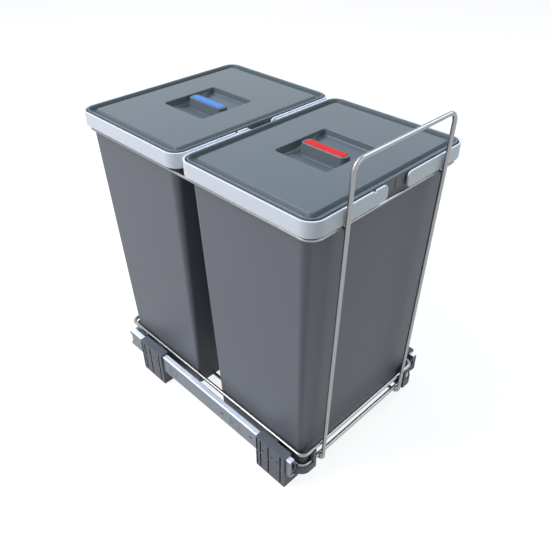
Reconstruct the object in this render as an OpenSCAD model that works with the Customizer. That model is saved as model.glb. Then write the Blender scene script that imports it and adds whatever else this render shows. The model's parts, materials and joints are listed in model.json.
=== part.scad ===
// Pull-out bin frame for a base cabinet: a wire cradle with two lidded waste bins,
// carried on two ball slides that stand on four floor brackets.
// Frame: origin at the centre of the bracket screw pattern on the cabinet floor,
// +Z up, -Y towards the front of the cabinet, where the pull handle is.

/* [Bins] */
// Width over the carry handles of a bin
band_w = 300; // [260:1:340]
// Depth over the carry handles of one bin
band_d = 228; // [200:1:260]
// Gap between the carry handles of the two bins
bin_gap = 4; // [2:0.5:12]
// Height of the carry handles' top edge above the floor
band_top = 467.5; // [420:0.5:520]
// Height of a carry handle's band
band_h = 21; // [20:0.5:26]
// Thickness of a carry handle's band
band_t = 2.6; // [2:0.1:3.4]
// Outer corner radius of the carry handles
band_r = 21; // [18:0.5:26]
// Open length between the ends of the two handle tabs
tab_gap = 39.4; // [30:0.2:60]
// Corner radius of a handle tab's end
tab_r = 7; // [4:0.5:9]
// Radius of a carry handle's pivot pin
pivot_r = 2.5; // [2:0.1:3]
// Wall thickness of a bin
bin_wall = 2.5; // [1.8:0.1:3.2]
// Corner radius of a bin's walls at the top ring
bin_r = 11; // [9:0.5:14]
// Corner radius of a bin's walls at the base
base_r = 4.5; // [4:0.5:9]
// How far each side wall leans in between the top ring and the base
taper_x = 12.7; // [9:0.1:15]
// How far each front or back wall leans in between the top ring and the base
taper_y = 12.3; // [9:0.1:14]
// From a carry handle's side face in to the bin wall at the top ring
inset_x = 8; // [7.9:0.1:11]
// From a carry handle's front face in to the bin wall at the top ring
inset_y = 14.3; // [12:0.1:16]

/* [Lids] */
// Gap between a lid's lip and the carry handles
lid_gap = 1.8; // [1.2:0.1:3]
// Height of the lid's lip above the carry handles' top edge
lip_rise = 2.5; // [1:0.1:4]
// Width of the lid's lip
lip_w = 2.8; // [2:0.1:4]
// Moulded wall thickness of a lid
lid_wall = 2.2; // [1.6:0.1:3]
// From the lip's outer edge to the edge of the raised panel
panel_inset = 13; // [11:0.5:18]
// Width of the finger pocket
pocket_w = 97; // [84:1:110]
// Depth of the finger pocket, front to back
pocket_d = 88; // [84:1:110]
// How far the pocket floor lies below the panel at the side walls
pocket_rim_deep = 9; // [8:0.5:12]
// How far the pocket floor lies below the panel beside the grip
pocket_deep = 17; // [14:0.5:19]
// Length of the grip bar
grip_len = 74; // [60:1:80]
// Width of the grip bar at its top
grip_w = 19.5; // [16:0.5:22]

/* [Wire frame] */
// Wire diameter of the rings and the pull handle
wire_d = 6; // [5:0.5:7]
// Wire diameter of the top ring and its stays
top_wire_d = 4; // [3.5:0.5:5]
// Height of the lower ring's axis
lower_ring_z = 36; // [34:0.5:38]
// Height of the upper ring's axis
upper_ring_z = 61; // [57:0.5:66]
// How far the top ring's axis lies below the carry handles' lower edge
top_ring_drop = 5.6; // [5.4:0.1:8]
// Bend radius of the ring corners, on the wire's axis
ring_bend = 12; // [10:0.5:16]
// From the rings' side in to the pull handle's legs, axis to axis
leg_inset = 40.2; // [38:0.2:60]
// Height of the pull handle's top edge
handle_top = 526.5; // [500:0.5:580]
// Forward lean of the pull handle, degrees
lean = 1.7; // [1.4:0.1:2.4]
// Bend radius of the pull handle's upper corners, on the wire's axis
handle_bend = 14; // [9:0.5:25]
// Bend radius of the curls at the pull handle's feet, on the wire's axis
foot_bend = 10; // [7:0.5:11]

/* [Slides] */
// Height of a cabinet rail
rail_h = 35; // [35:0.5:45]
// How much shorter a cabinet rail is than the rings
rail_short = 27.5; // [20:0.1:40]
// How far a cabinet rail starts behind the rings' front
rail_setback = 5; // [2:0.1:12]
// Height of the slides' centre line above the floor
rail_z = 47; // [46:0.5:50]
// Thickness of a whole slide
slide_t = 12.7; // [12.3:0.1:14]
// Depth of a cabinet rail's flanges
rail_flange = 9; // [8.6:0.1:9.6]
// Sheet thickness of the rails
sheet_t = 1.2; // [1:0.05:1.3]
// Ball diameter
ball_d = 2.9; // [2.4:0.1:3]
// Balls in one row of a cage
ball_count = 10; // [4:1:12]
// Distance between balls in a row
ball_pitch = 18; // [10:0.5:20]

/* [Brackets] */
// Distance between the front and rear bracket centres
bracket_spacing = 297; // [270:1:310]
// Length of a bracket, front to back
bracket_len = 60; // [52:1:70]
// Thickness of a bracket's outer wall
bracket_wall = 3; // [2.5:0.1:4]
// Height of a bracket's top above the rail's top
bracket_cap = 3.5; // [2.5:0.1:5]
// Width of a bracket's foot from the rail's outer face inwards
foot_w = 28; // [22:0.5:34]
// Thickness of a bracket's foot
foot_t = 4; // [3:0.5:6]
// Diameter of the floor screw holes
screw_d = 4.5; // [3.5:0.1:5]
// Distance between the two floor screws of a bracket
screw_pitch = 36; // [30:1:44]
// How far the bins' middle lies behind the brackets' middle
carriage_y = 24; // [10:1:30]

/* [Hidden] */
$fn = 48;

// Colours as the photograph shows them
c_bin = "#6d7075";
c_lid = "#7b8892";
c_band = "#cfd5df";
c_bracket = "#5a6166";
c_zinc = "#a9b0b8";
c_chrome = "#d5dade";
c_steel = "#8d9299";
c_red = "#f0303c";
c_blue = "#3f86e0";

// Gaps: parts that move on each other, parts that only stand beside each other, welded wires
move_gap = 0.3;
ball_gap = 0.1;
weld_gap = 0.05;
fit_gap = 0.05;
over = 1;

// Places are rounded to 0.01 mm so that the pieces of a wire meet exactly
function rounded(v) = round(100 * v) / 100;

// Bins
wire_r = wire_d / 2;
top_wire_r = top_wire_d / 2;
bin_pitch = band_d + bin_gap;
band_z = band_top - band_h;
top_ring_z = band_z - top_ring_drop;
hook_off = wire_d + weld_gap;
hook_drop = 11.7;
floor_wire_z = lower_ring_z - hook_drop;
bin_z = floor_wire_z + wire_r + move_gap;
bin_floor_t = bin_wall;
base_round = 3;
inner_round = 1;
rim_t = 3;
seat_drop = 7.8;
rim_z = band_top - seat_drop;
rim_lip = 1.5;
boss_r = pivot_r + 2.3;
boss_below_rim = 0.4;
pivot_z = rim_z - boss_r - boss_below_rim;
pivot_in = 11.25;
pivot_x = tab_gap / 2 + pivot_in;
pin_len = 6.5;
collar_t = 2;
collar_gap = 2;
collar_z = band_z + 3.5;
collar_top = band_top - 0.7;
seam_w = 1.2;
seam_deep = 0.7;

// Half width and half depth of a bin's outer wall at height z
function bin_hx(z) = band_w / 2 - inset_x - taper_x * (top_ring_z - z) / (top_ring_z - bin_z);
function bin_hy(z) = band_d / 2 - inset_y - taper_y * (top_ring_z - z) / (top_ring_z - bin_z);

// Corner radius of a bin's outer wall at height z
function bin_cr(z) = bin_r - (bin_r - base_r) * (top_ring_z - z) / (top_ring_z - bin_z);

// Lids
lip_x = band_w / 2 - band_t - lid_gap;
lip_y = band_d / 2 - band_t - lid_gap;
lip_r = band_r - band_t - lid_gap;
lip_top = band_top + lip_rise;
plate_z = rim_z + move_gap;
moat_z = plate_z + lid_wall;
panel_z = band_top;
panel_slope = 8;
panel_round = 2;
panel_r = 7;
seat_in = 2.6;
skirt_h = 7;
skirt_t = 2;
skirt_gap = 0.6;
pocket_r = 5;
pocket_draft = 1.5;
grip_draft = 1;
grip_r = 7;
insert_t = 2.4;
insert_inset = 3.1;
insert_proud = 0.7;
grip_top = panel_z + 0.7;

// Wire frame; the pull handle's legs pass in front of the lower and the upper ring
side_gap = 2.58;
end_gap = 8.8;
ring_x = rounded(bin_hx(upper_ring_z) + side_gap + wire_r);
ring_y = rounded(bin_pitch / 2 + bin_hy(upper_ring_z) + end_gap + wire_r);
curl_z = floor_wire_z + foot_bend;
leg_z = curl_z - foot_bend * sin(lean);
lean_step = rounded((upper_ring_z - leg_z) * tan(lean) + hook_off - wire_d - weld_gap);
low_ring_y = ring_y - lean_step;
top_ring_x = rounded(bin_hx(top_ring_z) + move_gap + top_wire_r);
top_ring_y = rounded(bin_pitch / 2 + band_d / 2 - band_t - move_gap - top_wire_r);
top_ring_bend = 18;
leg_x = ring_x - leg_inset;
leg_y = low_ring_y + hook_off;
curl_y = -leg_y + foot_bend * cos(lean);
leg_len = rounded((handle_top - wire_r - leg_z) / cos(lean));
stay_z = top_ring_z;
upright_base_y = ring_y + wire_d + weld_gap;
upright_top_y = top_ring_y + top_wire_r + wire_r + weld_gap;
upright_top_z = band_z - 2 * move_gap;

// Slides: distances s run inwards from the cabinet rail's outer face
cage_t = 0.4;
cage_gap = 0.4;
cage_leg_t = 0.5;
lip_sheet = 0.8;
lip_h = 1;
bend_r = 2.2;
saddle_pad = 5.8;
rail_x = ring_x + wire_r + saddle_pad + slide_t;
ball_r = ball_d / 2;
outer_ball_z = rail_h / 2 - sheet_t - ball_gap - ball_r;
middle_z = outer_ball_z - ball_r - ball_gap;
inner_ball_z = middle_z - sheet_t - ball_gap - ball_r;
drawer_z = inner_ball_z - ball_r - ball_gap;
outer_cage_s = sheet_t + cage_gap;
middle_s = outer_cage_s + cage_t + cage_gap;
middle_flange = slide_t - sheet_t - 1.1;
inner_cage_s = middle_s + sheet_t + cage_gap;
drawer_s = inner_cage_s + cage_t + 2 * cage_gap;
outer_ball_s = (middle_s + lip_sheet + rail_flange - sheet_t) / 2;
inner_ball_s = (drawer_s + middle_flange) / 2 - 0.25;
end_step = 1.2;
rail_front = carriage_y - ring_y + rail_setback;
rail_len = 2 * ring_y - rail_short;
rail_mid = rail_front + rail_len / 2;
inner_len = rail_len - 2 * end_step;
cage_len = ball_pitch * (ball_count - 1) + 3 * ball_d;
tab_s = drawer_s - cage_gap;

// Brackets
bracket_y = bracket_spacing / 2;
shelf_z = rail_z - rail_h / 2;
bracket_top = rail_z + rail_h / 2 + bracket_cap;
cap_reach = slide_t - 0.9;
shelf_t = 3.5;
rib_t = 3;
gusset_z = 16;
screw_s = foot_w - 8;
rivet_r = 1.4;
rivet_sunk = 1.6;
groove_w = 1.7;
groove_deep = 1.6;
bar_z = 36;
bar_h = 1.6;
groove_at = [28, 20, 3.5, -21.5];
rivet_at = [14.3, -3.9, -15.4];

// Saddles
saddle_in = 2;
saddle_out = 2.6;
saddle_low = 14;
saddle_arm = 40;
saddle_front = 13.5;
pad_from = 12;
post_t = 6;
pad_clear = 0.3;
saddle_screw_r = 2;
saddle_screw_head_r = 3.6;
saddle_screw_head_t = 2;
saddle_screw_at = [18, 31];

// Plan outlines and lofts

// Rectangle with round corners, centred
module round_rect(w, h, r) {
    square([w - 2 * r, h], center = true);
    square([w, h - 2 * r], center = true);
    for (x = [-1, 1], y = [-1, 1])
        translate([x * (w / 2 - r), y * (h / 2 - r)])
            circle(r);
}

// Points of a round-cornered rectangle with half sizes hx and hy
arc_steps = 8;
function round_points(hx, hy, r) = [
    for (q = [0:3], i = [0:arc_steps])
        let (a = 90 * q + 90 * i / arc_steps,
             cx = (q == 0 || q == 3 ? 1 : -1) * (hx - r),
             cy = (q < 2 ? 1 : -1) * (hy - r))
        [cx + r * cos(a), cy + r * sin(a)]
];

// Solid through round-cornered rectangles, each level [z, half width, half depth, radius]
module loft(levels) {
    m = 4 * (arc_steps + 1);
    last = m * (len(levels) - 1);
    points = [
        for (v = levels, p = round_points(v[1], v[2], v[3]))
            [p[0], p[1], v[0]]
    ];
    sides = [
        for (j = [0:len(levels) - 2], i = [0:m - 1])
            let (a = m * j + i, b = m * j + (i + 1) % m)
            each [[a, a + m, b + m], [a, b + m, b]]
    ];
    polyhedron(
        points,
        concat([[for (i = [0:m - 1]) i]], sides, [[for (i = [m - 1:-1:0]) last + i]])
    );
}

// Extrudes an outline drawn in (x, z) from y0 to y1
module along_y(y0, y1) {
    translate([0, y1, 0])
        rotate([90, 0, 0])
            linear_extrude(y1 - y0)
                children();
}

// Places a left-hand piece, or its mirror image on the right
module on_side(side) {
    if (side < 0)
        children();
    else
        mirror([1, 0, 0])
            children();
}

// Wire pieces

// Closed ring of wire with half sizes hx and hy on its axis
module wire_ring(hx, hy, bend, r) {
    for (x = [-1, 1])
        translate([x * hx, 0, 0])
            rotate([90, 0, 0])
                cylinder(r = r, h = 2 * (hy - bend), center = true);
    for (y = [-1, 1])
        translate([0, y * hy, 0])
            rotate([0, 90, 0])
                cylinder(r = r, h = 2 * (hx - bend), center = true);
    for (q = [0:3])
        translate([
            (q == 0 || q == 3 ? 1 : -1) * (hx - bend),
            (q < 2 ? 1 : -1) * (hy - bend),
            0
        ])
            rotate([0, 0, 90 * q])
                rotate_extrude(angle = 90)
                    translate([bend, 0])
                        circle(r);
}

module lower_ring() {
    color(c_chrome)
        translate([0, carriage_y, lower_ring_z])
            wire_ring(ring_x, low_ring_y, ring_bend, wire_r);
}

module upper_ring() {
    color(c_chrome)
        translate([0, carriage_y, upper_ring_z])
            wire_ring(ring_x, ring_y, ring_bend, wire_r);
}

module top_ring() {
    color(c_chrome)
        translate([0, carriage_y, top_ring_z])
            wire_ring(top_ring_x, top_ring_y, top_ring_bend, top_wire_r);
}

// One wire, upright in its own plane, which then leans forward as a whole
module pull_handle() {
    color(c_chrome)
        translate([0, carriage_y - leg_y, leg_z])
            rotate([lean, 0, 0]) {
                for (x = [-leg_x, leg_x]) {
                    translate([x, 0, 0])
                        cylinder(r = wire_r, h = leg_len - handle_bend);
                    translate([x, foot_bend, 0])
                        rotate([90, 0, 90])
                            rotate([0, 0, 180])
                                rotate_extrude(angle = 90 - lean)
                                    translate([foot_bend, 0])
                                        circle(wire_r);
                }
                translate([handle_bend - leg_x, 0, leg_len - handle_bend])
                    rotate([90, 0, 0])
                        rotate([0, 0, 90])
                            rotate_extrude(angle = 90)
                                translate([handle_bend, 0])
                                    circle(wire_r);
                translate([leg_x - handle_bend, 0, leg_len - handle_bend])
                    rotate([90, 0, 0])
                        rotate_extrude(angle = 90)
                            translate([handle_bend, 0])
                                circle(wire_r);
                translate([0, 0, leg_len])
                    rotate([0, 90, 0])
                        cylinder(r = wire_r, h = 2 * (leg_x - handle_bend), center = true);
            }
}

// Floor wire that carries the bins, welded end to end with the pull handle's foot
module floor_wire(side) {
    from_y = rounded(curl_y) + weld_gap;
    color(c_chrome)
        translate([side * leg_x, carriage_y + from_y, floor_wire_z])
            rotate([-90, 0, 0])
                cylinder(r = wire_r, h = low_ring_y + wire_r - from_y);
}

// Where the leaning leg's axis lies at height z
function leg_axis_y(z) = leg_y + (z - leg_z) * tan(lean);

module rear_upright(side) {
    rise = upright_top_z - upper_ring_z;
    tilt = atan((upright_top_y - upright_base_y) / rise);
    below = upper_ring_z - floor_wire_z;
    color(c_chrome)
        translate([side * leg_x, carriage_y + upright_base_y, upper_ring_z])
            rotate([-tilt, 0, 0])
                translate([0, 0, -below])
                    cylinder(r = wire_r, h = below + rise);
}

module ring_stays() {
    from_y = -leg_axis_y(stay_z) + wire_r - over;
    to_y = -top_ring_y;
    color(c_chrome)
        translate([0, carriage_y, 0])
            difference() {
                for (x = [-leg_x, leg_x])
                    translate([x, from_y, stay_z])
                        rotate([-90, 0, 0])
                            cylinder(r = top_wire_r, h = to_y - from_y);
                translate([0, to_y, top_ring_z])
                    rotate([0, 90, 0])
                        cylinder(r = top_wire_r + weld_gap, h = 2 * band_w, center = true);
                for (x = [-leg_x, leg_x])
                    translate([x, -leg_axis_y(stay_z), stay_z])
                        rotate([lean, 0, 0])
                            cylinder(r = wire_r + weld_gap, h = 10 * wire_d, center = true);
            }
}

// Slides, drawn for the left side

module slide_frame(side) {
    on_side(side)
        translate([-rail_x, 0, rail_z])
            children();
}

module cabinet_profile() {
    difference() {
        translate([rail_flange, 0])
            round_rect(2 * rail_flange, rail_h, bend_r);
        difference() {
            translate([rail_flange, 0])
                round_rect(2 * (rail_flange - sheet_t), rail_h - 2 * sheet_t, bend_r - sheet_t);
            for (m = [0, 1])
                mirror([0, m])
                    translate([rail_flange - sheet_t, rail_h / 2 - sheet_t - lip_h])
                        square([2 * rail_flange, rail_h]);
        }
        translate([rail_flange, -rail_h])
            square([2 * rail_flange, 2 * rail_h]);
    }
}

module middle_profile() {
    translate([middle_s, -middle_z])
        square([sheet_t, 2 * middle_z]);
    for (m = [0, 1])
        mirror([0, m]) {
            translate([middle_s, middle_z - sheet_t])
                square([middle_flange - middle_s, sheet_t]);
            translate([middle_s, middle_z - sheet_t])
                square([lip_sheet, sheet_t + lip_h]);
            translate([middle_flange - lip_sheet, middle_z - sheet_t - lip_h])
                square([lip_sheet, sheet_t + lip_h]);
        }
}

module drawer_profile() {
    translate([slide_t - sheet_t, -drawer_z])
        square([sheet_t, 2 * drawer_z]);
    for (m = [0, 1])
        mirror([0, m]) {
            translate([drawer_s, drawer_z - sheet_t])
                square([slide_t - drawer_s, sheet_t]);
            translate([drawer_s, drawer_z - sheet_t])
                square([lip_sheet, sheet_t + lip_h]);
        }
}

// Slot through a rail's web, length along the rail
module web_slot(len, wide) {
    rotate([0, 90, 0])
        linear_extrude(4 * sheet_t, center = true) {
            square([wide, len - wide], center = true);
            for (y = [-1, 1])
                translate([0, y * (len - wide) / 2])
                    circle(wide / 2);
        }
}

// Lanced tab in the rail's web: a U-shaped slit with two holes
tab_len = 25;
tab_high = 13;
tab_slit = 0.9;
tab_hole_r = 1.4;
tab_hole_at = [7.5, -7.5];
module web_tab() {
    rotate([90, 0, 90])
        linear_extrude(4 * sheet_t, center = true) {
            for (z = [-1, 1])
                translate([0, z * tab_high / 2])
                    square([tab_len, tab_slit], center = true);
            translate([tab_len / 2, 0])
                square([tab_slit, tab_high + tab_slit], center = true);
            for (y = tab_hole_at)
                translate([y, 0])
                    circle(tab_hole_r);
        }
}

slot_len = 6.5;
slot_wide = 3.2;
slot_at = [-52.4, -118.8];
lance_at = [72.8, -84.9];
notch_deep = 5;
notch_high = 20;
module cabinet_rail(side) {
    color(c_zinc)
        slide_frame(side)
            difference() {
                along_y(rail_front, rail_front + rail_len)
                    cabinet_profile();
                for (y = slot_at)
                    translate([0, rail_mid + y, 0])
                        web_slot(slot_len, slot_wide);
                for (y = lance_at)
                    translate([0, rail_mid + y, 0])
                        web_tab();
                translate([-over, rail_front + rail_len - notch_deep, -notch_high / 2])
                    cube([sheet_t + 2 * over, notch_deep + over, notch_high]);
                rivet_bores();
            }
}

module middle_rail(side) {
    tab_high_in = 2 * (middle_z - sheet_t - lip_h);
    color(c_zinc)
        slide_frame(side) {
            along_y(rail_front + end_step, rail_front + end_step + inner_len)
                middle_profile();
            translate([middle_s, rail_front + end_step, -tab_high_in / 2])
                cube([tab_s - middle_s, sheet_t, tab_high_in]);
        }
}

module drawer_rail(side) {
    color(c_zinc)
        slide_frame(side)
            difference() {
                along_y(rail_front + end_step, rail_front + end_step + inner_len)
                    drawer_profile();
                for (y = saddle_screw_ys())
                    translate([slide_t, y, 0])
                        rotate([0, 90, 0])
                            cylinder(r = saddle_screw_r + fit_gap, h = 4 * sheet_t, center = true);
            }
}

// Ball rows: y of each ball
function ball_ys() = [for (i = [0:ball_count - 1]) rail_mid + ball_pitch * (i - (ball_count - 1) / 2)];

// Cage of one pair of rows: web at s, legs at height z that reach to reach
module cage(s, z, reach, ball_s) {
    difference() {
        union() {
            translate([s, rail_mid - cage_len / 2, -z - cage_leg_t / 2])
                cube([cage_t, cage_len, 2 * z + cage_leg_t]);
            for (m = [-1, 1])
                translate([s, rail_mid - cage_len / 2, m * z - cage_leg_t / 2])
                    cube([reach - s, cage_len, cage_leg_t]);
        }
        for (y = ball_ys())
            translate([ball_s, y, 0])
                cylinder(r = ball_r + fit_gap, h = rail_h, center = true);
    }
}

module balls(ball_s, z) {
    for (y = ball_ys(), m = [-1, 1])
        translate([ball_s, y, m * z])
            sphere(ball_r);
}

module outer_cage(side) {
    color(c_steel)
        slide_frame(side)
            cage(outer_cage_s, outer_ball_z, rail_flange - sheet_t - cage_gap, outer_ball_s);
}

module outer_balls(side) {
    color(c_steel)
        slide_frame(side)
            balls(outer_ball_s, outer_ball_z);
}

module inner_cage(side) {
    color(c_steel)
        slide_frame(side)
            cage(inner_cage_s, inner_ball_z, middle_flange - lip_sheet - cage_gap, inner_ball_s);
}

module inner_balls(side) {
    color(c_steel)
        slide_frame(side)
            balls(inner_ball_s, inner_ball_z);
}

// Brackets, drawn for the left side about the bracket's middle

module bracket_section() {
    translate([-bracket_wall, 0])
        square([bracket_wall, bracket_top]);
    translate([-bracket_wall, bracket_top - bracket_cap])
        square([bracket_wall + cap_reach, bracket_cap]);
    translate([-bracket_wall, shelf_z - shelf_t])
        square([bracket_wall + cap_reach, shelf_t]);
    translate([-bracket_wall, 0])
        square([bracket_wall + foot_w, foot_t]);
}

module gusset_section() {
    polygon([
        [-bracket_wall, 0],
        [foot_w, 0],
        [foot_w, foot_t],
        [cap_reach, gusset_z],
        [cap_reach, shelf_z],
        [-bracket_wall, shelf_z]
    ]);
}

module bracket(side, y) {
    ribs = 4;
    rib_step = (bracket_len - rib_t) / (ribs - 1);
    half = bracket_len / 2;
    color(c_bracket)
        on_side(side)
            translate([-rail_x, y, 0])
                difference() {
                    union() {
                        along_y(-half, half)
                            bracket_section();
                        for (i = [0:ribs - 1])
                            along_y(i * rib_step - half, i * rib_step - half + rib_t)
                                gusset_section();
                    }
                    for (g = groove_at) {
                        translate([-bracket_wall - over, g - groove_w / 2, foot_t])
                            cube([over + groove_deep, groove_w, bar_z - bar_h / 2 - foot_t]);
                        translate([-bracket_wall - over, g - groove_w / 2, bar_z + bar_h / 2])
                            cube([over + groove_deep, groove_w, bracket_top - foot_t - bar_z - bar_h / 2]);
                    }
                    for (r = rivet_at)
                        translate([-bracket_wall, r, rail_z])
                            rotate([0, 90, 0])
                                cylinder(r = rivet_r + fit_gap, h = 4 * bracket_wall, center = true);
                    for (s = [-1, 1])
                        translate([screw_s, s * screw_pitch / 2, foot_t / 2])
                            cylinder(d = screw_d, h = 4 * foot_t, center = true);
                }
}

// Rivet holes through the cabinet rail's web, in the slide's own frame
module rivet_bores() {
    for (b = [-1, 1], r = rivet_at)
        translate([0, b * bracket_spacing / 2 + r, 0])
            rotate([0, 90, 0])
                cylinder(r = rivet_r + fit_gap, h = 4 * sheet_t, center = true);
}

module rail_rivets() {
    color(c_steel)
        for (side = [-1, 1])
            slide_frame(side)
                for (b = [-1, 1], r = rivet_at)
                    translate([rivet_sunk - bracket_wall, b * bracket_spacing / 2 + r, 0])
                        rotate([0, 90, 0])
                            cylinder(r = rivet_r, h = bracket_wall - rivet_sunk + sheet_t);
}

// Corner saddles, drawn for the front left corner about the frame's middle

// Distances of the saddle screws behind the front ring corner, as places along the rails
function saddle_screw_ys() = [
    for (e = [-1, 1], a = saddle_screw_at)
        carriage_y + e * (low_ring_y - ring_bend - a)
];

module saddle_section() {
    translate([-saddle_in, lower_ring_z - saddle_low])
        square([saddle_in + wire_r + saddle_out, saddle_low]);
}

module saddle_post() {
    translate([-saddle_in, lower_ring_z - saddle_low])
        square([saddle_in + wire_r + saddle_out, saddle_low + upper_ring_z - lower_ring_z]);
}

module saddle_solid() {
    turn_x = ring_bend - ring_x;
    turn_y = ring_bend - low_ring_y;
    out = wire_r + saddle_out;
    pad_x = -ring_x - wire_r - saddle_pad;
    translate([turn_x, turn_y, 0])
        rotate([0, 0, 180])
            rotate_extrude(angle = 90)
                translate([ring_bend, 0])
                    saddle_section();
    translate([0, turn_y, 0])
        mirror([1, 0, 0])
            translate([ring_x, 0, 0])
                along_y(0, saddle_arm)
                    saddle_section();
    translate([0, turn_y + saddle_arm - post_t, 0])
        mirror([1, 0, 0])
            translate([ring_x, 0, 0])
                along_y(0, post_t)
                    saddle_post();
    translate([turn_x, -low_ring_y, 0])
        mirror([0, 1, 0])
            rotate([90, 0, 90])
                linear_extrude(saddle_front)
                    saddle_section();
    translate([turn_x + saddle_front - post_t, -low_ring_y, 0])
        mirror([0, 1, 0])
            rotate([90, 0, 90])
                linear_extrude(post_t)
                    saddle_post();
    translate([pad_x, turn_y + pad_from, lower_ring_z - saddle_low])
        cube([
            saddle_pad - pad_clear,
            saddle_arm - pad_from,
            rail_z + drawer_z - lower_ring_z + saddle_low
        ]);
}

module saddle(side, end) {
    color(c_bracket)
        translate([0, carriage_y, 0])
            on_side(side)
                mirror([0, end > 0 ? 1 : 0, 0])
                    difference() {
                        saddle_solid();
                        translate([0, 0, lower_ring_z])
                            wire_ring(ring_x, low_ring_y, ring_bend, wire_r + weld_gap);
                        translate([0, 0, upper_ring_z])
                            wire_ring(ring_x, ring_y, ring_bend, wire_r + weld_gap);
                        for (a = saddle_screw_at)
                            translate([
                                -ring_x - wire_r - saddle_pad,
                                ring_bend - low_ring_y + a,
                                rail_z
                            ])
                                rotate([0, 90, 0])
                                    cylinder(r = saddle_screw_r + fit_gap, h = 2 * saddle_pad - 2, center = true);
                    }
}

module saddle_screws() {
    color(c_steel)
        for (side = [-1, 1])
            slide_frame(side)
                for (y = saddle_screw_ys())
                    translate([slide_t - sheet_t, y, 0])
                        rotate([0, 90, 0]) {
                            cylinder(r = saddle_screw_r, h = sheet_t + saddle_pad - 1.5);
                            translate([0, 0, -saddle_screw_head_t])
                                cylinder(r = saddle_screw_head_r, h = saddle_screw_head_t);
                        }
}

// Bins, drawn about their own middle

module bin_body() {
    round_z = bin_z + base_round;
    top_z = rim_z + over;
    inside_z = bin_z + bin_floor_t;
    collar_x = band_w / 2 - band_t - collar_gap;
    collar_y = band_d / 2 - band_t - collar_gap;
    collar_r = band_r - band_t - collar_gap;
    difference() {
        union() {
            loft([
                [bin_z, bin_hx(bin_z) - base_round, bin_hy(bin_z) - base_round, bin_cr(bin_z) - base_round],
                [bin_z + base_round * 0.29, bin_hx(bin_z) - base_round * 0.29,
                    bin_hy(bin_z) - base_round * 0.29, bin_cr(bin_z) - base_round * 0.29],
                [round_z, bin_hx(round_z), bin_hy(round_z), bin_cr(round_z)],
                [rim_z, bin_hx(rim_z), bin_hy(rim_z), bin_cr(rim_z)]
            ]);
            translate([0, 0, rim_z - rim_t])
                linear_extrude(rim_t)
                    round_rect(2 * collar_x - collar_t, 2 * collar_y - collar_t, collar_r - collar_t / 2);
            translate([0, 0, collar_z])
                linear_extrude(collar_top - collar_z)
                    difference() {
                        round_rect(2 * collar_x, 2 * collar_y, collar_r);
                        round_rect(2 * (collar_x - collar_t), 2 * (collar_y - collar_t), collar_r - collar_t);
                    }
            for (x = [-pivot_x, pivot_x], e = [0, 1])
                mirror([0, e, 0])
                    translate([x, -band_d / 2 + band_t + move_gap, pivot_z])
                        rotate([-90, 0, 0])
                            cylinder(r = boss_r, h = inset_y);
        }
        loft([
            [inside_z, bin_hx(inside_z) - bin_wall - inner_round,
                bin_hy(inside_z) - bin_wall - inner_round, bin_cr(inside_z) - bin_wall - inner_round],
            [inside_z + inner_round, bin_hx(inside_z) - bin_wall,
                bin_hy(inside_z) - bin_wall, bin_cr(inside_z) - bin_wall],
            [top_z, bin_hx(top_z) - bin_wall, bin_hy(top_z) - bin_wall, bin_cr(top_z) - bin_wall]
        ]);
        for (x = [-pivot_x, pivot_x], e = [0, 1])
            mirror([0, e, 0])
                translate([x, -band_d / 2, pivot_z])
                    rotate([-90, 0, 0])
                        cylinder(r = pivot_r + fit_gap, h = band_t + pin_len + move_gap);
        for (e = [0, 1])
            mirror([0, e, 0])
                translate([-seam_w / 2, -collar_y - over, collar_z - over])
                    cube([seam_w, over + seam_deep, collar_top - collar_z + 2 * over]);
    }
}

// Lids, drawn about the bin's middle

// Pocket outline in (x, z): half of it, from the panel down to the middle
module pocket_profile(grow) {
    top = panel_z + over;
    rim = pocket_w / 2 + grow;
    foot = grip_w / 2 + grip_draft;
    polygon([
        [-rim - grow, top],
        [-rim + pocket_draft, panel_z - pocket_rim_deep - grow],
        [-foot, panel_z - pocket_deep - grow],
        [foot, panel_z - pocket_deep - grow],
        [rim - pocket_draft, panel_z - pocket_rim_deep - grow],
        [rim + grow, top]
    ]);
}

module pocket_solid(grow) {
    intersection() {
        along_y(-pocket_d, pocket_d)
            pocket_profile(grow);
        translate([0, 0, panel_z - 3 * pocket_deep])
            linear_extrude(3 * pocket_deep + (grow > 0 ? 0 : over))
                round_rect(pocket_w + 2 * grow, pocket_d + 2 * grow, pocket_r + grow);
    }
}

module grip_bar() {
    base_z = panel_z - pocket_deep - lid_wall / 2;
    loft([
        [base_z, grip_w / 2 + grip_draft, grip_len / 2 + grip_draft, grip_r + grip_draft],
        [grip_top - 1, grip_w / 2 + 0.2, grip_len / 2 + 0.2, grip_r],
        [grip_top, grip_w / 2 - 0.8, grip_len / 2 - 0.8, grip_r - 1]
    ]);
}

// Outline of the coloured insert, and of its seat when grown
module insert_outline(grow) {
    wide = grip_w - 2 * insert_inset + 2 * grow;
    round_rect(wide, grip_len - 2 * insert_inset + 2 * grow, grip_r - insert_inset + grow);
}

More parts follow.
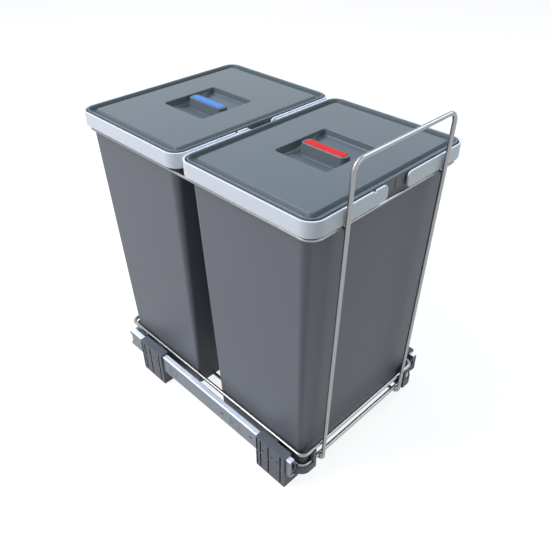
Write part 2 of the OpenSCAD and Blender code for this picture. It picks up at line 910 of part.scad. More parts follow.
module lid_body() {
    seat_x = lip_x - seat_in;
    seat_y = lip_y - seat_in;
    base_x = lip_x - panel_inset + panel_slope;
    base_y = lip_y - panel_inset + panel_slope;
    top_x = lip_x - panel_inset;
    top_y = lip_y - panel_inset;
    skirt_x = bin_hx(plate_z - skirt_h) - bin_wall - skirt_gap;
    skirt_y = bin_hy(plate_z - skirt_h) - bin_wall - skirt_gap;
    skirt_r = bin_cr(plate_z - skirt_h) - bin_wall - skirt_gap;
    under = lid_wall * 1.1;
    well_x = min(base_x - under, skirt_x - skirt_t - over / 2);
    well_y = min(base_y - under, skirt_y - skirt_t - over / 2);
    well_r = skirt_r - skirt_t;
    difference() {
        union() {
            translate([0, 0, collar_top + move_gap])
                linear_extrude(lip_top - collar_top - move_gap)
                    difference() {
                        round_rect(2 * lip_x, 2 * lip_y, lip_r);
                        round_rect(2 * (lip_x - lip_w), 2 * (lip_y - lip_w), lip_r - lip_w);
                    }
            translate([0, 0, plate_z])
                linear_extrude(lip_top - over - plate_z)
                    difference() {
                        round_rect(2 * seat_x, 2 * seat_y, lip_r - seat_in);
                        round_rect(2 * (seat_x - lid_wall), 2 * (seat_y - lid_wall), lip_r - seat_in - lid_wall);
                    }
            translate([0, 0, plate_z])
                linear_extrude(lid_wall)
                    round_rect(2 * seat_x - lid_wall, 2 * seat_y - lid_wall, lip_r - seat_in - lid_wall / 2);
            loft([
                [plate_z + lid_wall / 2, base_x, base_y, panel_r + panel_slope],
                [moat_z, base_x, base_y, panel_r + panel_slope],
                [panel_z - panel_round, top_x + panel_round, top_y + panel_round, panel_r + panel_round],
                [panel_z, top_x - panel_round, top_y - panel_round, panel_r - panel_round]
            ]);
            translate([0, 0, plate_z - skirt_h])
                linear_extrude(skirt_h + lid_wall / 2)
                    difference() {
                        round_rect(2 * skirt_x, 2 * skirt_y, skirt_r);
                        round_rect(2 * (skirt_x - skirt_t), 2 * (skirt_y - skirt_t), skirt_r - skirt_t);
                    }
        }
        difference() {
            loft([
                [plate_z - over, well_x, well_y, well_r],
                [moat_z - lid_wall / 2, well_x, well_y, well_r],
                [panel_z - lid_wall, min(top_x - under, well_x), min(top_y - under, well_y), well_r / 2]
            ]);
            pocket_solid(lid_wall);
        }
        pocket_solid(0);
    }
    difference() {
        pocket_solid(lid_wall);
        pocket_solid(0);
    }
    difference() {
        grip_bar();
        translate([0, 0, grip_top + insert_proud - insert_t])
            linear_extrude(insert_t + over)
                insert_outline(0);
    }
}

module lid_insert() {
    translate([0, 0, grip_top + insert_proud - insert_t])
        linear_extrude(insert_t)
            insert_outline(-weld_gap);
}

// Carry handles, drawn about the bin's middle for the left half

notch_w = 4.5;
notch_h = 2.4;
notch_x = 44;
module carry_handle(notched) {
    difference() {
        intersection() {
            translate([0, 0, band_z])
                linear_extrude(band_h)
                    difference() {
                        round_rect(band_w, band_d, band_r);
                        round_rect(band_w - 2 * band_t, band_d - 2 * band_t, band_r - band_t);
                    }
            translate([-tab_gap / 2 - band_w / 2, 0, band_z + band_h / 2])
                along_y(-band_d, band_d)
                    round_rect(band_w, band_h, tab_r);
        }
        if (notched)
            translate([-notch_x - notch_w / 2, -band_d, band_top - notch_h])
                cube([notch_w, band_d, notch_h + over]);
    }
    for (e = [0, 1])
        mirror([0, e, 0])
            translate([-pivot_x, -band_d / 2 + band_t / 2, pivot_z])
                rotate([-90, 0, 0])
                    cylinder(r = pivot_r, h = band_t / 2 + pin_len);
}

// Front bin at -1, rear bin at 1
module at_bin(place) {
    translate([0, carriage_y + place * bin_pitch / 2, 0])
        children();
}

module bin(place) {
    color(c_bin)
        at_bin(place)
            bin_body();
}

module lid(place) {
    color(c_lid)
        at_bin(place)
            lid_body();
}

module coloured_insert(place, shade) {
    color(shade)
        at_bin(place)
            lid_insert();
}

module handle(place, side) {
    color(c_band)
        at_bin(place)
            on_side(side)
                carry_handle(side < 0);
}

bracket(-1, -bracket_y);  // bracket_front_left
bracket(1, -bracket_y);  // bracket_front_right
bracket(-1, bracket_y);  // bracket_rear_left
bracket(1, bracket_y);  // bracket_rear_right
cabinet_rail(-1);  // cabinet_rail_left
cabinet_rail(1);  // cabinet_rail_right
rail_rivets();
outer_cage(-1);  // outer_cage_left
outer_cage(1);  // outer_cage_right
outer_balls(-1);  // outer_balls_left
outer_balls(1);  // outer_balls_right
middle_rail(-1);  // middle_rail_left
middle_rail(1);  // middle_rail_right
inner_cage(-1);  // inner_cage_left
inner_cage(1);  // inner_cage_right
inner_balls(-1);  // inner_balls_left
inner_balls(1);  // inner_balls_right
drawer_rail(-1);  // drawer_rail_left
drawer_rail(1);  // drawer_rail_right
saddle(-1, -1);  // saddle_front_left
saddle(1, -1);  // saddle_front_right
saddle(-1, 1);  // saddle_rear_left
saddle(1, 1);  // saddle_rear_right
saddle_screws();
lower_ring();
upper_ring();
top_ring();
pull_handle();
floor_wire(-1);  // floor_wire_left
floor_wire(1);  // floor_wire_right
rear_upright(-1);  // rear_upright_left
rear_upright(1);  // rear_upright_right
ring_stays();
bin(-1);  // front_bin
bin(1);  // rear_bin
lid(-1);  // front_lid
lid(1);  // rear_lid
coloured_insert(-1, c_red);  // front_lid_insert
coloured_insert(1, c_blue);  // rear_lid_insert
handle(-1, -1);  // front_handle_left
handle(-1, 1);  // front_handle_right
handle(1, -1);  // rear_handle_left
handle(1, 1);  // rear_handle_right
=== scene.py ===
"""Looks of a pull-out bin frame: two lidded bins in a wire cradle on ball slides.

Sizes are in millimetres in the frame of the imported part: origin on the cabinet
floor, +Z up, -Y towards the pull handle. Each mesh is scaled to metres when its
piece is finished.
"""

import json
import logging
import math
from dataclasses import dataclass
from enum import Enum

import bmesh
import bpy
from mathutils import Matrix, Vector

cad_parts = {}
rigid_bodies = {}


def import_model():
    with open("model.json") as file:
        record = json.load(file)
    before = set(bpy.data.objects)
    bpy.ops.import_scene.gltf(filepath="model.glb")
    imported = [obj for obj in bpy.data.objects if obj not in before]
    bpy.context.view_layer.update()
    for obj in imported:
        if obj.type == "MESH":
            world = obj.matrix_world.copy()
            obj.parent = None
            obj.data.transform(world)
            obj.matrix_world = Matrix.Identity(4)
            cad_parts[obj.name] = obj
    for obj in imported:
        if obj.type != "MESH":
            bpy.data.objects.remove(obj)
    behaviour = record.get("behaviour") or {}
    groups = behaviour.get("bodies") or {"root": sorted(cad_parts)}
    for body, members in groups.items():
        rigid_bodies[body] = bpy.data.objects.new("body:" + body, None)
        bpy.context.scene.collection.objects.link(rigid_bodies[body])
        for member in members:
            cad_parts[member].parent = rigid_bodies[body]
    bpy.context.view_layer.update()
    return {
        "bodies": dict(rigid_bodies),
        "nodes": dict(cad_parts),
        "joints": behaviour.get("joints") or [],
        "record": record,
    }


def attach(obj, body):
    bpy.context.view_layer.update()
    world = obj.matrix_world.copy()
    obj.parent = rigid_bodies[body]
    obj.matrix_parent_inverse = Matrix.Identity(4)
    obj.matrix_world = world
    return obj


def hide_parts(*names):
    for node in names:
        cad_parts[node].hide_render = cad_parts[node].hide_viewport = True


LOG = logging.getLogger("bin_frame")
MM = 0.001
WHITE = "#ffffff"

Rgba = tuple[float, float, float, float]
Pair = tuple[float, float]
Triple = tuple[float, float, float]
Looks = dict[str, bpy.types.Material]
Tree = bpy.types.NodeTree
Socket = bpy.types.NodeSocket
Mesh = bmesh.types.BMesh
Vert = bmesh.types.BMVert
Edge = bmesh.types.BMEdge
Face = bmesh.types.BMFace

# Height of the slides' centre line above the floor
RAIL_MIDDLE = 47.0
# Middle of the cradle along Y
CRADLE_Y = 24.0
# Half sizes of the lower ring on its wire's axis, and the bend radius of its corners
LOWER_RING = (135.91, 215.39)
RING_BEND = 12.0
# Height of the top ring's axis, where it goes round the bins
TOP_RING_Z = 440.9
# Axis on which a carry handle turns: distance from the bin's middle, and height
PIVOT_X = 30.95
PIVOT_Z = 454.5
# Two faces that turn by less than this are shaded as one
SMOOTH_TURN = math.radians(38)
# Least turn, in degrees, of an edge that counts as a corner
CORNER_TURN = 60.0
# Strips in a round corner of a loft
CORNER_STEPS = 8
# Degrees of a wire's bend in one strip, and the fewest strips in a bend
STRIP_TURN = 9
FEWEST_STRIPS = 4
# Points this close to a cutting plane count as on it
ON_PLANE = 1e-4
# Points this close together, or to a face, are flush
FLUSH = 0.01
# Points of a finished mesh this close together are one
ONE_POINT = 0.0005


class Named(Enum):
    """An option that has a word in the names of nodes."""

    @property
    def word(self) -> str:
        """The option's word in the names of nodes."""
        return self.name.lower()


class Side(Named):
    """The frame's two sides, seen from the pull handle."""

    LEFT = -1
    RIGHT = 1


class Place(Named):
    """The two bins' places in the cradle."""

    FRONT = -1
    REAR = 1


# Each bin's middle along Y, and the material slot of its lid's insert
BINS = {Place.FRONT: (-92.0, "red_plastic"), Place.REAR: (140.0, "blue_plastic")}


# Finishes


def linear(code: str) -> Rgba:
    """Turns an sRGB hex colour into linear values.

    Args:
        code: colour such as "#a0b0c0".

    Returns:
        Linear red, green and blue, and an alpha of 1.
    """
    channels = [int(code[i : i + 2], 16) / 255 for i in (1, 3, 5)]
    red, green, blue = (
        c / 12.92 if c <= 0.04045 else ((c + 0.055) / 1.055) ** 2.4 for c in channels
    )
    return red, green, blue, 1.0


def add_node(
    tree: Tree, kind: str, settings: dict | None = None, inputs: dict | None = None
) -> bpy.types.Node:
    """Adds a node with its settings and links.

    Args:
        tree: node tree of a material or a world.
        kind: Blender's name of the node type.
        settings: attributes to set on the node.
        inputs: value or output socket for each input socket, by name or number.

    Returns:
        The new node.
    """
    node = tree.nodes.new(kind)
    for name, value in (settings or {}).items():
        setattr(node, name, value)
    for name, value in (inputs or {}).items():
        if isinstance(value, Socket):
            tree.links.new(value, node.inputs[name])
        else:
            node.inputs[name].default_value = value
    return node


def per_mm(size: float) -> float:
    """Texture scale at which one feature measures size millimetres."""
    return 1 / (size * MM)


def new_material(name: str) -> tuple[bpy.types.Material, Tree]:
    """Makes an empty node material.

    Args:
        name: name of the real material and how it was made.

    Returns:
        The material and its node tree.
    """
    material = bpy.data.materials.new(name)
    material.use_nodes = True
    material.node_tree.nodes.clear()
    return material, material.node_tree


@dataclass(frozen=True)
class Finish:
    """A surface of two tones in soft patches, under a fine pattern that scatters light."""

    name: str
    shade: str
    patch_shade: str
    rough: Pair

    def _tone(self, tree: Tree, place: Socket, size: float, detail: float) -> Socket:
        """Mixes the two tones in soft patches.

        Args:
            tree: node tree of the material.
            place: Object coordinates.
            size: size of a patch in millimetres.
            detail: finer layers in the patches.

        Returns:
            The colour.
        """
        patches = add_node(
            tree,
            "ShaderNodeTexNoise",
            inputs={"Vector": place, "Scale": per_mm(size), "Detail": detail},
        )
        mixed = add_node(
            tree,
            "ShaderNodeMix",
            {"data_type": "RGBA"},
            {0: patches.outputs["Fac"], 6: linear(self.shade), 7: linear(self.patch_shade)},
        )
        return mixed.outputs[2]

    def _surface(
        self, tree: Tree, pattern: Socket, spread: Pair, relief: Pair, shader: dict
    ) -> None:
        """Ends the material in a shader whose roughness and bump follow a pattern.

        Args:
            tree: node tree of the material.
            pattern: height of the fine pattern.
            spread: values of the pattern between which the roughness runs.
            relief: depth of the pattern in millimetres, and strength of its bump.
            shader: the shader's other inputs.
        """
        rough = add_node(
            tree,
            "ShaderNodeMapRange",
            inputs={
                "Value": pattern,
                "From Min": spread[0],
                "From Max": spread[1],
                "To Min": self.rough[0],
                "To Max": self.rough[1],
            },
        )
        depth, strength = relief
        bump = add_node(
            tree,
            "ShaderNodeBump",
            inputs={"Height": pattern, "Distance": depth * MM, "Strength": strength},
        )
        follows = {"Roughness": rough.outputs["Result"], "Normal": bump.outputs["Normal"]}
        node = add_node(tree, "ShaderNodeBsdfPrincipled", inputs=shader | follows)
        add_node(tree, "ShaderNodeOutputMaterial", inputs={"Surface": node.outputs["BSDF"]})


@dataclass(frozen=True)
class MouldedPlastic(Finish):
    """Injection-moulded plastic: an even tool grain, with slow drift in tone and gloss."""

    grain: float = 1.6
    grain_depth: float = 0.008
    grain_spread: Pair = (0.3, 0.7)
    bump: float = 0.5
    flow: float = 120.0
    ior: float = 1.49
    specular: float = 0.4
    # Painted shade: grooves and holes are darkened towards this colour by ambient occlusion within
    # this reach
    recess_shade: str | None = None
    recess_reach: float = 5.0
    recess_spread: Pair = (0.45, 0.97)

    def build(self) -> bpy.types.Material:
        """Builds the finish.

        Returns:
            The node material.
        """
        material, tree = new_material(self.name)
        place = add_node(tree, "ShaderNodeTexCoord").outputs["Object"]
        # Melt flow leaves broad, faint patches of a second tone.
        tone = self._tone(tree, place, self.flow, detail=2.0)
        # Painted shade darkens grooves and holes.
        if self.recess_shade is not None:
            tone = self._recessed(tree, tone)
        # The tool's spark-eroded grain is near 0.3 mm; drawn coarser so that it shows.
        grain = add_node(
            tree,
            "ShaderNodeTexNoise",
            inputs={"Vector": place, "Scale": per_mm(self.grain), "Detail": 3.0},
        ).outputs["Fac"]
        shader = {"Base Color": tone, "IOR": self.ior, "Specular IOR Level": self.specular}
        self._surface(tree, grain, self.grain_spread, (self.grain_depth, self.bump), shader)
        return material

    def _recessed(self, tree: Tree, tone: Socket) -> Socket:
        """Paints shade into grooves and holes, darkening them by ambient occlusion.

        Args:
            tree: node tree of the material.
            tone: colour of the open surface.

        Returns:
            The colour with painted shade in its recesses.
        """
        occlusion = add_node(
            tree,
            "ShaderNodeAmbientOcclusion",
            {"samples": 8, "only_local": True},
            {"Distance": self.recess_reach * MM},
        )
        low, high = self.recess_spread
        share = add_node(
            tree,
            "ShaderNodeMapRange",
            inputs={"Value": occlusion.outputs["AO"], "From Min": low, "From Max": high},
        )
        mixed = add_node(
            tree,
            "ShaderNodeMix",
            {"data_type": "RGBA"},
            {0: share.outputs["Result"], 6: linear(self.recess_shade), 7: tone},
        )
        return mixed.outputs[2]


@dataclass(frozen=True)
class WorkedMetal(Finish):
    """Bare or plated metal with marks along the way it was rolled or drawn."""

    mark: Triple
    cloud: float
    mark_depth: float = 0.003
    mark_spread: Pair = (0.25, 0.75)
    bump: float = 0.4
    # Painted light: colour that the sheet takes at its top and bottom flanges, standing in for
    # light from above
    burnished_shade: str | None = None
    # Height between the flanges, and distances from it where the painted light starts and is full
    bend: Triple = (0.0, 0.0, 0.0)

    def build(self) -> bpy.types.Material:
        """Builds the finish.

        Returns:
            The node material.
        """
        material, tree = new_material(self.name)
        place = add_node(tree, "ShaderNodeTexCoord").outputs["Object"]
        # Plating thickness clouds the tone slightly.
        tone = self._tone(tree, place, self.cloud, detail=3.0)
        # Painted light brightens the flanges.
        if self.burnished_shade is not None:
            tone = self._burnished(tree, place, tone)
        # Long marks: each axis has its own length of mark in millimetres.
        stretched = add_node(
            tree,
            "ShaderNodeMapping",
            inputs={"Vector": place, "Scale": [per_mm(m) for m in self.mark]},
        ).outputs["Vector"]
        marks = add_node(
            tree, "ShaderNodeTexNoise", inputs={"Vector": stretched, "Scale": 1.0, "Detail": 4.0}
        ).outputs["Fac"]
        shader = {"Base Color": tone, "Metallic": 1.0}
        self._surface(tree, marks, self.mark_spread, (self.mark_depth, self.bump), shader)
        return material

    def _burnished(self, tree: Tree, place: Socket, tone: Socket) -> Socket:
        """Paints light onto the sheet at its top and bottom flanges, brightening them as light from
        above would.

        Args:
            tree: node tree of the material.
            place: Object coordinates.
            tone: colour of the flat sheet.

        Returns:
            The colour with painted light on the flanges.
        """
        middle, start, full = self.bend
        height = add_node(tree, "ShaderNodeSeparateXYZ", inputs={"Vector": place})
        above = add_node(
            tree,
            "ShaderNodeMath",
            {"operation": "SUBTRACT"},
            {0: height.outputs["Z"], 1: middle * MM},
        )
        away = add_node(tree, "ShaderNodeMath", {"operation": "ABSOLUTE"}, {0: above.outputs[0]})
        share = add_node(
            tree,
            "ShaderNodeMapRange",
            inputs={"Value": away.outputs[0], "From Min": start * MM, "From Max": full * MM},
        )
        mixed = add_node(
            tree,
            "ShaderNodeMix",
            {"data_type": "RGBA"},
            {0: share.outputs["Result"], 6: tone, 7: linear(self.burnished_shade)},
        )
        return mixed.outputs[2]


def make_finishes() -> Looks:
    """Builds every finish once.

    Returns:
        The node materials, by the record's material slots.
    """
    plans = {
        # Polypropylene, matt moulded: the bins' even mid grey.
        "bin_plastic": MouldedPlastic(
            "polypropylene_moulded_grey", "#6a6d74", "#6f7279", (0.44, 0.56)
        ),
        # The same plastic from a finer tool: the lids take a soft sheen.
        "lid_plastic": MouldedPlastic(
            "polypropylene_moulded_lid_grey", "#616b6f", "#646e72", (0.28, 0.34), specular=0.35
        ),
        # Polypropylene, pale and smoother, so that its edges catch the light.
        "light_plastic": MouldedPlastic(
            "polypropylene_moulded_pale", "#e4e9f0", "#e8edf4", (0.34, 0.44)
        ),
        # Acrylonitrile butadiene styrene, polished tool: bright and glossy.
        "red_plastic": MouldedPlastic(
            "abs_moulded_red", "#e0040f", "#e40814", (0.13, 0.17), grain_depth=0.001, specular=0.14
        ),
        "blue_plastic": MouldedPlastic(
            "abs_moulded_blue", "#2c7fd0", "#3284d4", (0.13, 0.17), grain_depth=0.001, specular=0.25
        ),
        # Glass-filled polyamide: dull, with a slight mottle of fibres.
        "dark_plastic": MouldedPlastic(
            "polyamide_glass_filled_moulded",
            "#5d6167",
            "#65696f",
            (0.46, 0.62),
            grain=2.0,
            grain_depth=0.05,
            flow=24.0,
            ior=1.53,
            # Painted shade: grooves and holes are darkened towards this near black.
            recess_shade="#191b1b",
        ),
        # Drawn steel wire with a satin nickel-chrome plate: pale, soft highlights.
        "plated_wire": WorkedMetal(
            "steel_wire_nickel_chrome_plated",
            "#9c9d9e",
            "#969798",
            (0.27, 0.30),
            mark=(1.6, 1.6, 24.0),
            cloud=60.0,
            mark_depth=0.0006,
        ),
        # Cold-rolled sheet, zinc plated: dull, with marks along the rolling, and
        # painted light that makes the flanges above and below bright.
        "zinc_sheet": WorkedMetal(
            "steel_sheet_zinc_plated",
            "#8b9197",
            "#848a90",
            (0.50, 0.60),
            mark=(1.2, 30.0, 1.2),
            cloud=30.0,
            burnished_shade="#e4ecf8",
            bend=(RAIL_MIDDLE, 15.6, 17.0),
        ),
        # Plain turned and ground steel.
        "plain_steel": WorkedMetal(
            "steel_plain_ground",
            "#8b8f93",
            "#7d8185",
            (0.26, 0.40),
            mark=(1.0, 1.0, 1.0),
            cloud=12.0,
        ),
    }
    return {slot: plan.build() for slot, plan in plans.items()}


# Mesh tools


def soften(
    mesh: Mesh, geom: list, radius: float, segments: int = 3, affect: str = "EDGES"
) -> list[Vert]:
    """Rounds edges or corners of a mesh.

    Args:
        mesh: mesh to change, in millimetres.
        geom: edges or points to round.
        radius: width of the rounding to each side.
        segments: strips in the rounding.
        affect: which of the two are rounded, "EDGES" or "VERTICES".

    Returns:
        The points of the rounding.
    """
    return bmesh.ops.bevel(
        mesh,
        geom=[g for g in geom if g.is_valid],
        offset=radius,
        offset_type="OFFSET",
        segments=segments,
        profile=0.5,
        affect=affect,
        clamp_overlap=False,
        material=-1,
    )["verts"]


def sharp_edges(mesh: Mesh, turn: float = CORNER_TURN, shortest: float = 0.0) -> list[Edge]:
    """Finds the corners of a mesh.

    Args:
        mesh: mesh to search.
        turn: least angle between the two faces, in degrees.
        shortest: edges below this length are left out.

    Returns:
        The edges between two faces that meet at such an angle.
    """
    limit = math.radians(turn)
    return [
        e
        for e in mesh.edges
        if len(e.link_faces) == 2
        and e.calc_face_angle() > limit
        and e.calc_length() >= shortest
    ]


def rounded_sheet(mesh: Mesh, half: Pair, middle: Triple, radius: float, steps: int) -> Face:
    """Draws a flat rectangle with round corners.

    Args:
        mesh: mesh that takes the sheet.
        half: half sizes along X and Y.
        middle: middle of the sheet.
        radius: corner radius.
        steps: strips in a corner.

    Returns:
        The sheet's face.
    """
    corners = bmesh.ops.create_grid(mesh, x_segments=1, y_segments=1, size=1.0)["verts"]
    bmesh.ops.scale(mesh, vec=(*half, 1), verts=corners)
    bmesh.ops.translate(mesh, vec=middle, verts=corners)
    return soften(mesh, corners, radius, steps, "VERTICES")[0].link_faces[0]


def draw_on(mesh: Mesh, ring: list[Edge]) -> tuple[list[Vert], list[Edge]]:
    """Starts a new wall on a ring of edges.

    Args:
        mesh: mesh that takes the wall.
        ring: edges that the wall starts from.

    Returns:
        The new ring's points and edges, still in the old ring's place.
    """
    made = bmesh.ops.extrude_edge_only(mesh, edges=ring)["geom"]
    fresh = {g for g in made if isinstance(g, Vert)}
    edges = [g for g in made if isinstance(g, Edge) and set(g.verts) <= fresh]
    return list(fresh), edges


def cut(mesh: Mesh, faces: list[Face], place: Triple, normal: Triple) -> list[Face]:
    """Cuts faces along a plane and keeps both halves.

    Args:
        mesh: mesh of the faces.
        faces: faces to cut.
        place: a point on the plane.
        normal: direction square to the plane.

    Returns:
        All the faces after the cut.
    """
    made = bmesh.ops.bisect_plane(
        mesh,
        geom=faces + list({e for f in faces for e in f.edges}),
        dist=ON_PLANE,
        plane_co=place,
        plane_no=normal,
    )
    return [g for g in made["geom"] if isinstance(g, Face)]


def join(mesh: Mesh, part: Mesh) -> None:
    """Adds a part's shell to a mesh and uses the part up.

    Args:
        mesh: mesh that takes the shell.
        part: mesh to add.
    """
    bmesh.ops.recalc_face_normals(part, faces=part.faces)
    data = bpy.data.meshes.new("joined_part")
    part.to_mesh(data)
    part.free()
    mesh.from_mesh(data)
    bpy.data.meshes.remove(data)


@dataclass(frozen=True)
class Peg:
    """A round peg along Y with a rounded head, and a blind bore in it where it has one."""

    radius: float
    length: float
    soft: float
    sides: int
    bore: Pair | None = None

    def add_to(self, mesh: Mesh, middle: Vector, way: int) -> None:
        """Adds the peg to a mesh.

        Args:
            mesh: mesh that takes the peg.
            middle: middle of the peg.
            way: 1 for a head towards +Y, -1 for a head towards -Y.
        """
        part = bmesh.new()
        bmesh.ops.create_cone(
            part,
            cap_ends=True,
            segments=self.sides,
            radius1=self.radius,
            radius2=self.radius,
            depth=self.length,
        )
        if self.bore is not None:
            bore_r, deep = self.bore
            head = max(part.faces, key=lambda f: f.calc_center_median().z)
            bmesh.ops.inset_region(part, faces=[head], thickness=self.radius - bore_r)
            sunk = bmesh.ops.extrude_discrete_faces(part, faces=[head])["faces"]
            bmesh.ops.translate(part, vec=(0, 0, -deep), verts=sunk[0].verts)
        head_z = self.length / 2 - FLUSH
        rims = [e for e in sharp_edges(part) if all(v.co.z > head_z for v in e.verts)]
        soften(part, rims, self.soft, 2)
        turn = Matrix.Rotation(math.radians(-90 * way), 4, "X")
        bmesh.ops.transform(part, matrix=Matrix.Translation(middle) @ turn, verts=part.verts)
        join(mesh, part)


@dataclass(frozen=True)
class Fit:
    """How a new piece belongs to the part: body, material slot and nodes it stands for."""

    body: str
    slot: str
    nodes: tuple[str, ...]


def finish_piece(mesh: Mesh, name: str, fit: Fit, looks: Looks) -> None:
    """Turns a mesh in millimetres into a piece at the origin that rides on its body.

    Args:
        mesh: closed shells in millimetres; it is used up.
        name: name of the piece.
        fit: body, slot and replaced nodes.
        looks: finishes by slot.
    """
    bmesh.ops.remove_doubles(mesh, verts=mesh.verts, dist=ONE_POINT)
    bmesh.ops.recalc_face_normals(mesh, faces=mesh.faces)
    bmesh.ops.scale(mesh, vec=(MM, MM, MM), verts=mesh.verts)
    for face in mesh.faces:
        face.smooth = True
    for edge in mesh.edges:
        edge.smooth = len(edge.link_faces) == 2 and edge.calc_face_angle() < SMOOTH_TURN
    data = bpy.data.meshes.new(name)
    mesh.to_mesh(data)
    mesh.free()
    data.materials.append(looks[fit.slot])
    piece = bpy.data.objects.new(name, data)
    bpy.context.scene.collection.objects.link(piece)
    even = piece.modifiers.new("even_shading", "WEIGHTED_NORMAL")
    even.keep_sharp = True
    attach(piece, fit.body)
    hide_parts(*fit.nodes)
    LOG.info("%s: %d faces on %s", name, len(data.polygons), fit.body)


@dataclass(frozen=True)
class Outline:
    """A round-cornered rectangle at one height."""

    half_x: float
    half_y: float
    radius: float
    z: float


class Loft:
    """A shell drawn ring by ring through round-cornered rectangles."""

    def __init__(self, mesh: Mesh, middle_y: float, start: Outline, ring: list[Edge]) -> None:
        """Takes up a ring that is already drawn.

        Args:
            mesh: mesh that takes the shell.
            middle_y: where the rectangles' middle lies along Y.
            start: outline of that ring.
            ring: edges of that ring.
        """
        self.mesh = mesh
        self.middle_y = middle_y
        self.now = start
        self.ring = ring
        self.soft: list[tuple[list[Edge], float]] = []

    @classmethod
    def begin(
        cls, mesh: Mesh, middle_y: float, start: Outline, soft: float = 0.0, closed: bool = True
    ) -> "Loft":
        """Draws the first ring.

        Args:
            mesh: mesh that takes the shell.
            middle_y: where the rectangles' middle lies along Y.
            start: first ring.
            soft: rounding of the first ring's edge.
            closed: whether the first ring keeps its face.

        Returns:
            The loft at its first ring.
        """
        half, middle = (start.half_x, start.half_y), (0, middle_y, start.z)
        face = rounded_sheet(mesh, half, middle, start.radius, CORNER_STEPS)
        loft = cls(mesh, middle_y, start, list(face.edges))
        if not closed:
            bmesh.ops.delete(mesh, geom=[face], context="FACES_ONLY")
        loft._mark(soft)
        return loft

    def _mark(self, soft: float) -> None:
        """Keeps the present ring for rounding."""
        if soft > 0:
            self.soft.append((list(self.ring), soft))

    def to(self, level: Outline, soft: float = 0.0) -> None:
        """Draws the wall to the next ring.

        Args:
            level: next ring.
            soft: rounding of that ring's edge.
        """
        fresh, self.ring = draw_on(self.mesh, self.ring)
        grown = level.radius / self.now.radius
        for x_way in (-1, 1):
            for y_way in (-1, 1):
                corner = [
                    v for v in fresh if v.co.x * x_way > 0 and (v.co.y - self.middle_y) * y_way > 0
                ]
                old = self._arc_middle(self.now, x_way, y_way)
                new = self._arc_middle(level, x_way, y_way)
                bmesh.ops.scale(
                    self.mesh, vec=(grown, grown, 1), space=Matrix.Translation(-old), verts=corner
                )
                bmesh.ops.translate(self.mesh, vec=new - old, verts=corner)
        self.now = level
        self._mark(soft)

    def _arc_middle(self, level: Outline, x_way: int, y_way: int) -> Vector:
        """Centre of a corner's arc on a ring."""
        x, y = level.half_x - level.radius, level.half_y - level.radius
        return Vector((x_way * x, self.middle_y + y_way * y, level.z))

    def cap(self) -> Face:
        """Closes the present ring with a face, and returns that face."""
        return bmesh.ops.contextual_create(self.mesh, geom=self.ring)["faces"][0]

    def round_off(self) -> None:
        """Rounds every ring that was marked."""
        for edges, radius in self.soft:
            soften(self.mesh, edges, radius)


class WireSweep:
    """A wire drawn along straights and bends."""

    def __init__(
        self, mesh: Mesh, radius: float, start: Vector, heading: Vector, around: int = 20
    ) -> None:
        """Places the wire's first section.

        Args:
            mesh: mesh that takes the wire.
            radius: wire radius.
            start: where the axis starts.
            heading: direction of the axis there.
            around: sides of the wire's section.
        """
        self.mesh = mesh
        self.point = start.copy()
        self.heading = heading.normalized()
        turn = self.heading.to_track_quat("Z", "Y").to_matrix().to_4x4()
        made = bmesh.ops.create_circle(
            mesh,
            cap_ends=False,
            segments=around,
            radius=radius,
            matrix=Matrix.Translation(start) @ turn,
        )
        self.ring = list({e for v in made["verts"] for e in v.link_edges})
        self.first = list(self.ring)

    def straight(self, length: float) -> "WireSweep":
        """Runs the wire straight on.

        Args:
            length: length of the run.

        Returns:
            The sweep itself.
        """
        fresh, self.ring = draw_on(self.mesh, self.ring)
        bmesh.ops.translate(self.mesh, vec=self.heading * length, verts=fresh)
        self.point = self.point + self.heading * length
        return self

    def bend(self, radius: float, inwards: Vector, degrees: float = 90.0) -> "WireSweep":
        """Bends the wire.

        Args:
            radius: bend radius on the axis.
            inwards: direction from the axis to the bend's centre.
            degrees: angle of the bend.

        Returns:
            The sweep itself.
        """
        inwards = inwards.normalized()
        centre = self.point + inwards * radius
        axis = self.heading.cross(inwards)
        verts = list({v for e in self.ring for v in e.verts})
        made = bmesh.ops.spin(
            self.mesh,
            geom=verts + self.ring,
            cent=centre,
            axis=axis,
            dvec=(0, 0, 0),
            angle=math.radians(degrees),
            steps=max(FEWEST_STRIPS, round(degrees / STRIP_TURN)),
            use_merge=False,
            use_duplicate=False,
        )
        self.ring = [g for g in made["geom_last"] if isinstance(g, Edge)]
        turn = Matrix.Rotation(math.radians(degrees), 3, axis)
        self.point = centre + turn @ (self.point - centre)
        self.heading = turn @ self.heading
        return self

    def cap_ends(self, soft: float) -> None:
        """Closes both ends of the wire.

        Args:
            soft: rounding of the cut edge.
        """
        for ring in (self.first, self.ring):
            bmesh.ops.contextual_create(self.mesh, geom=ring)
            soften(self.mesh, ring, soft, 2)


# Sub-assemblies


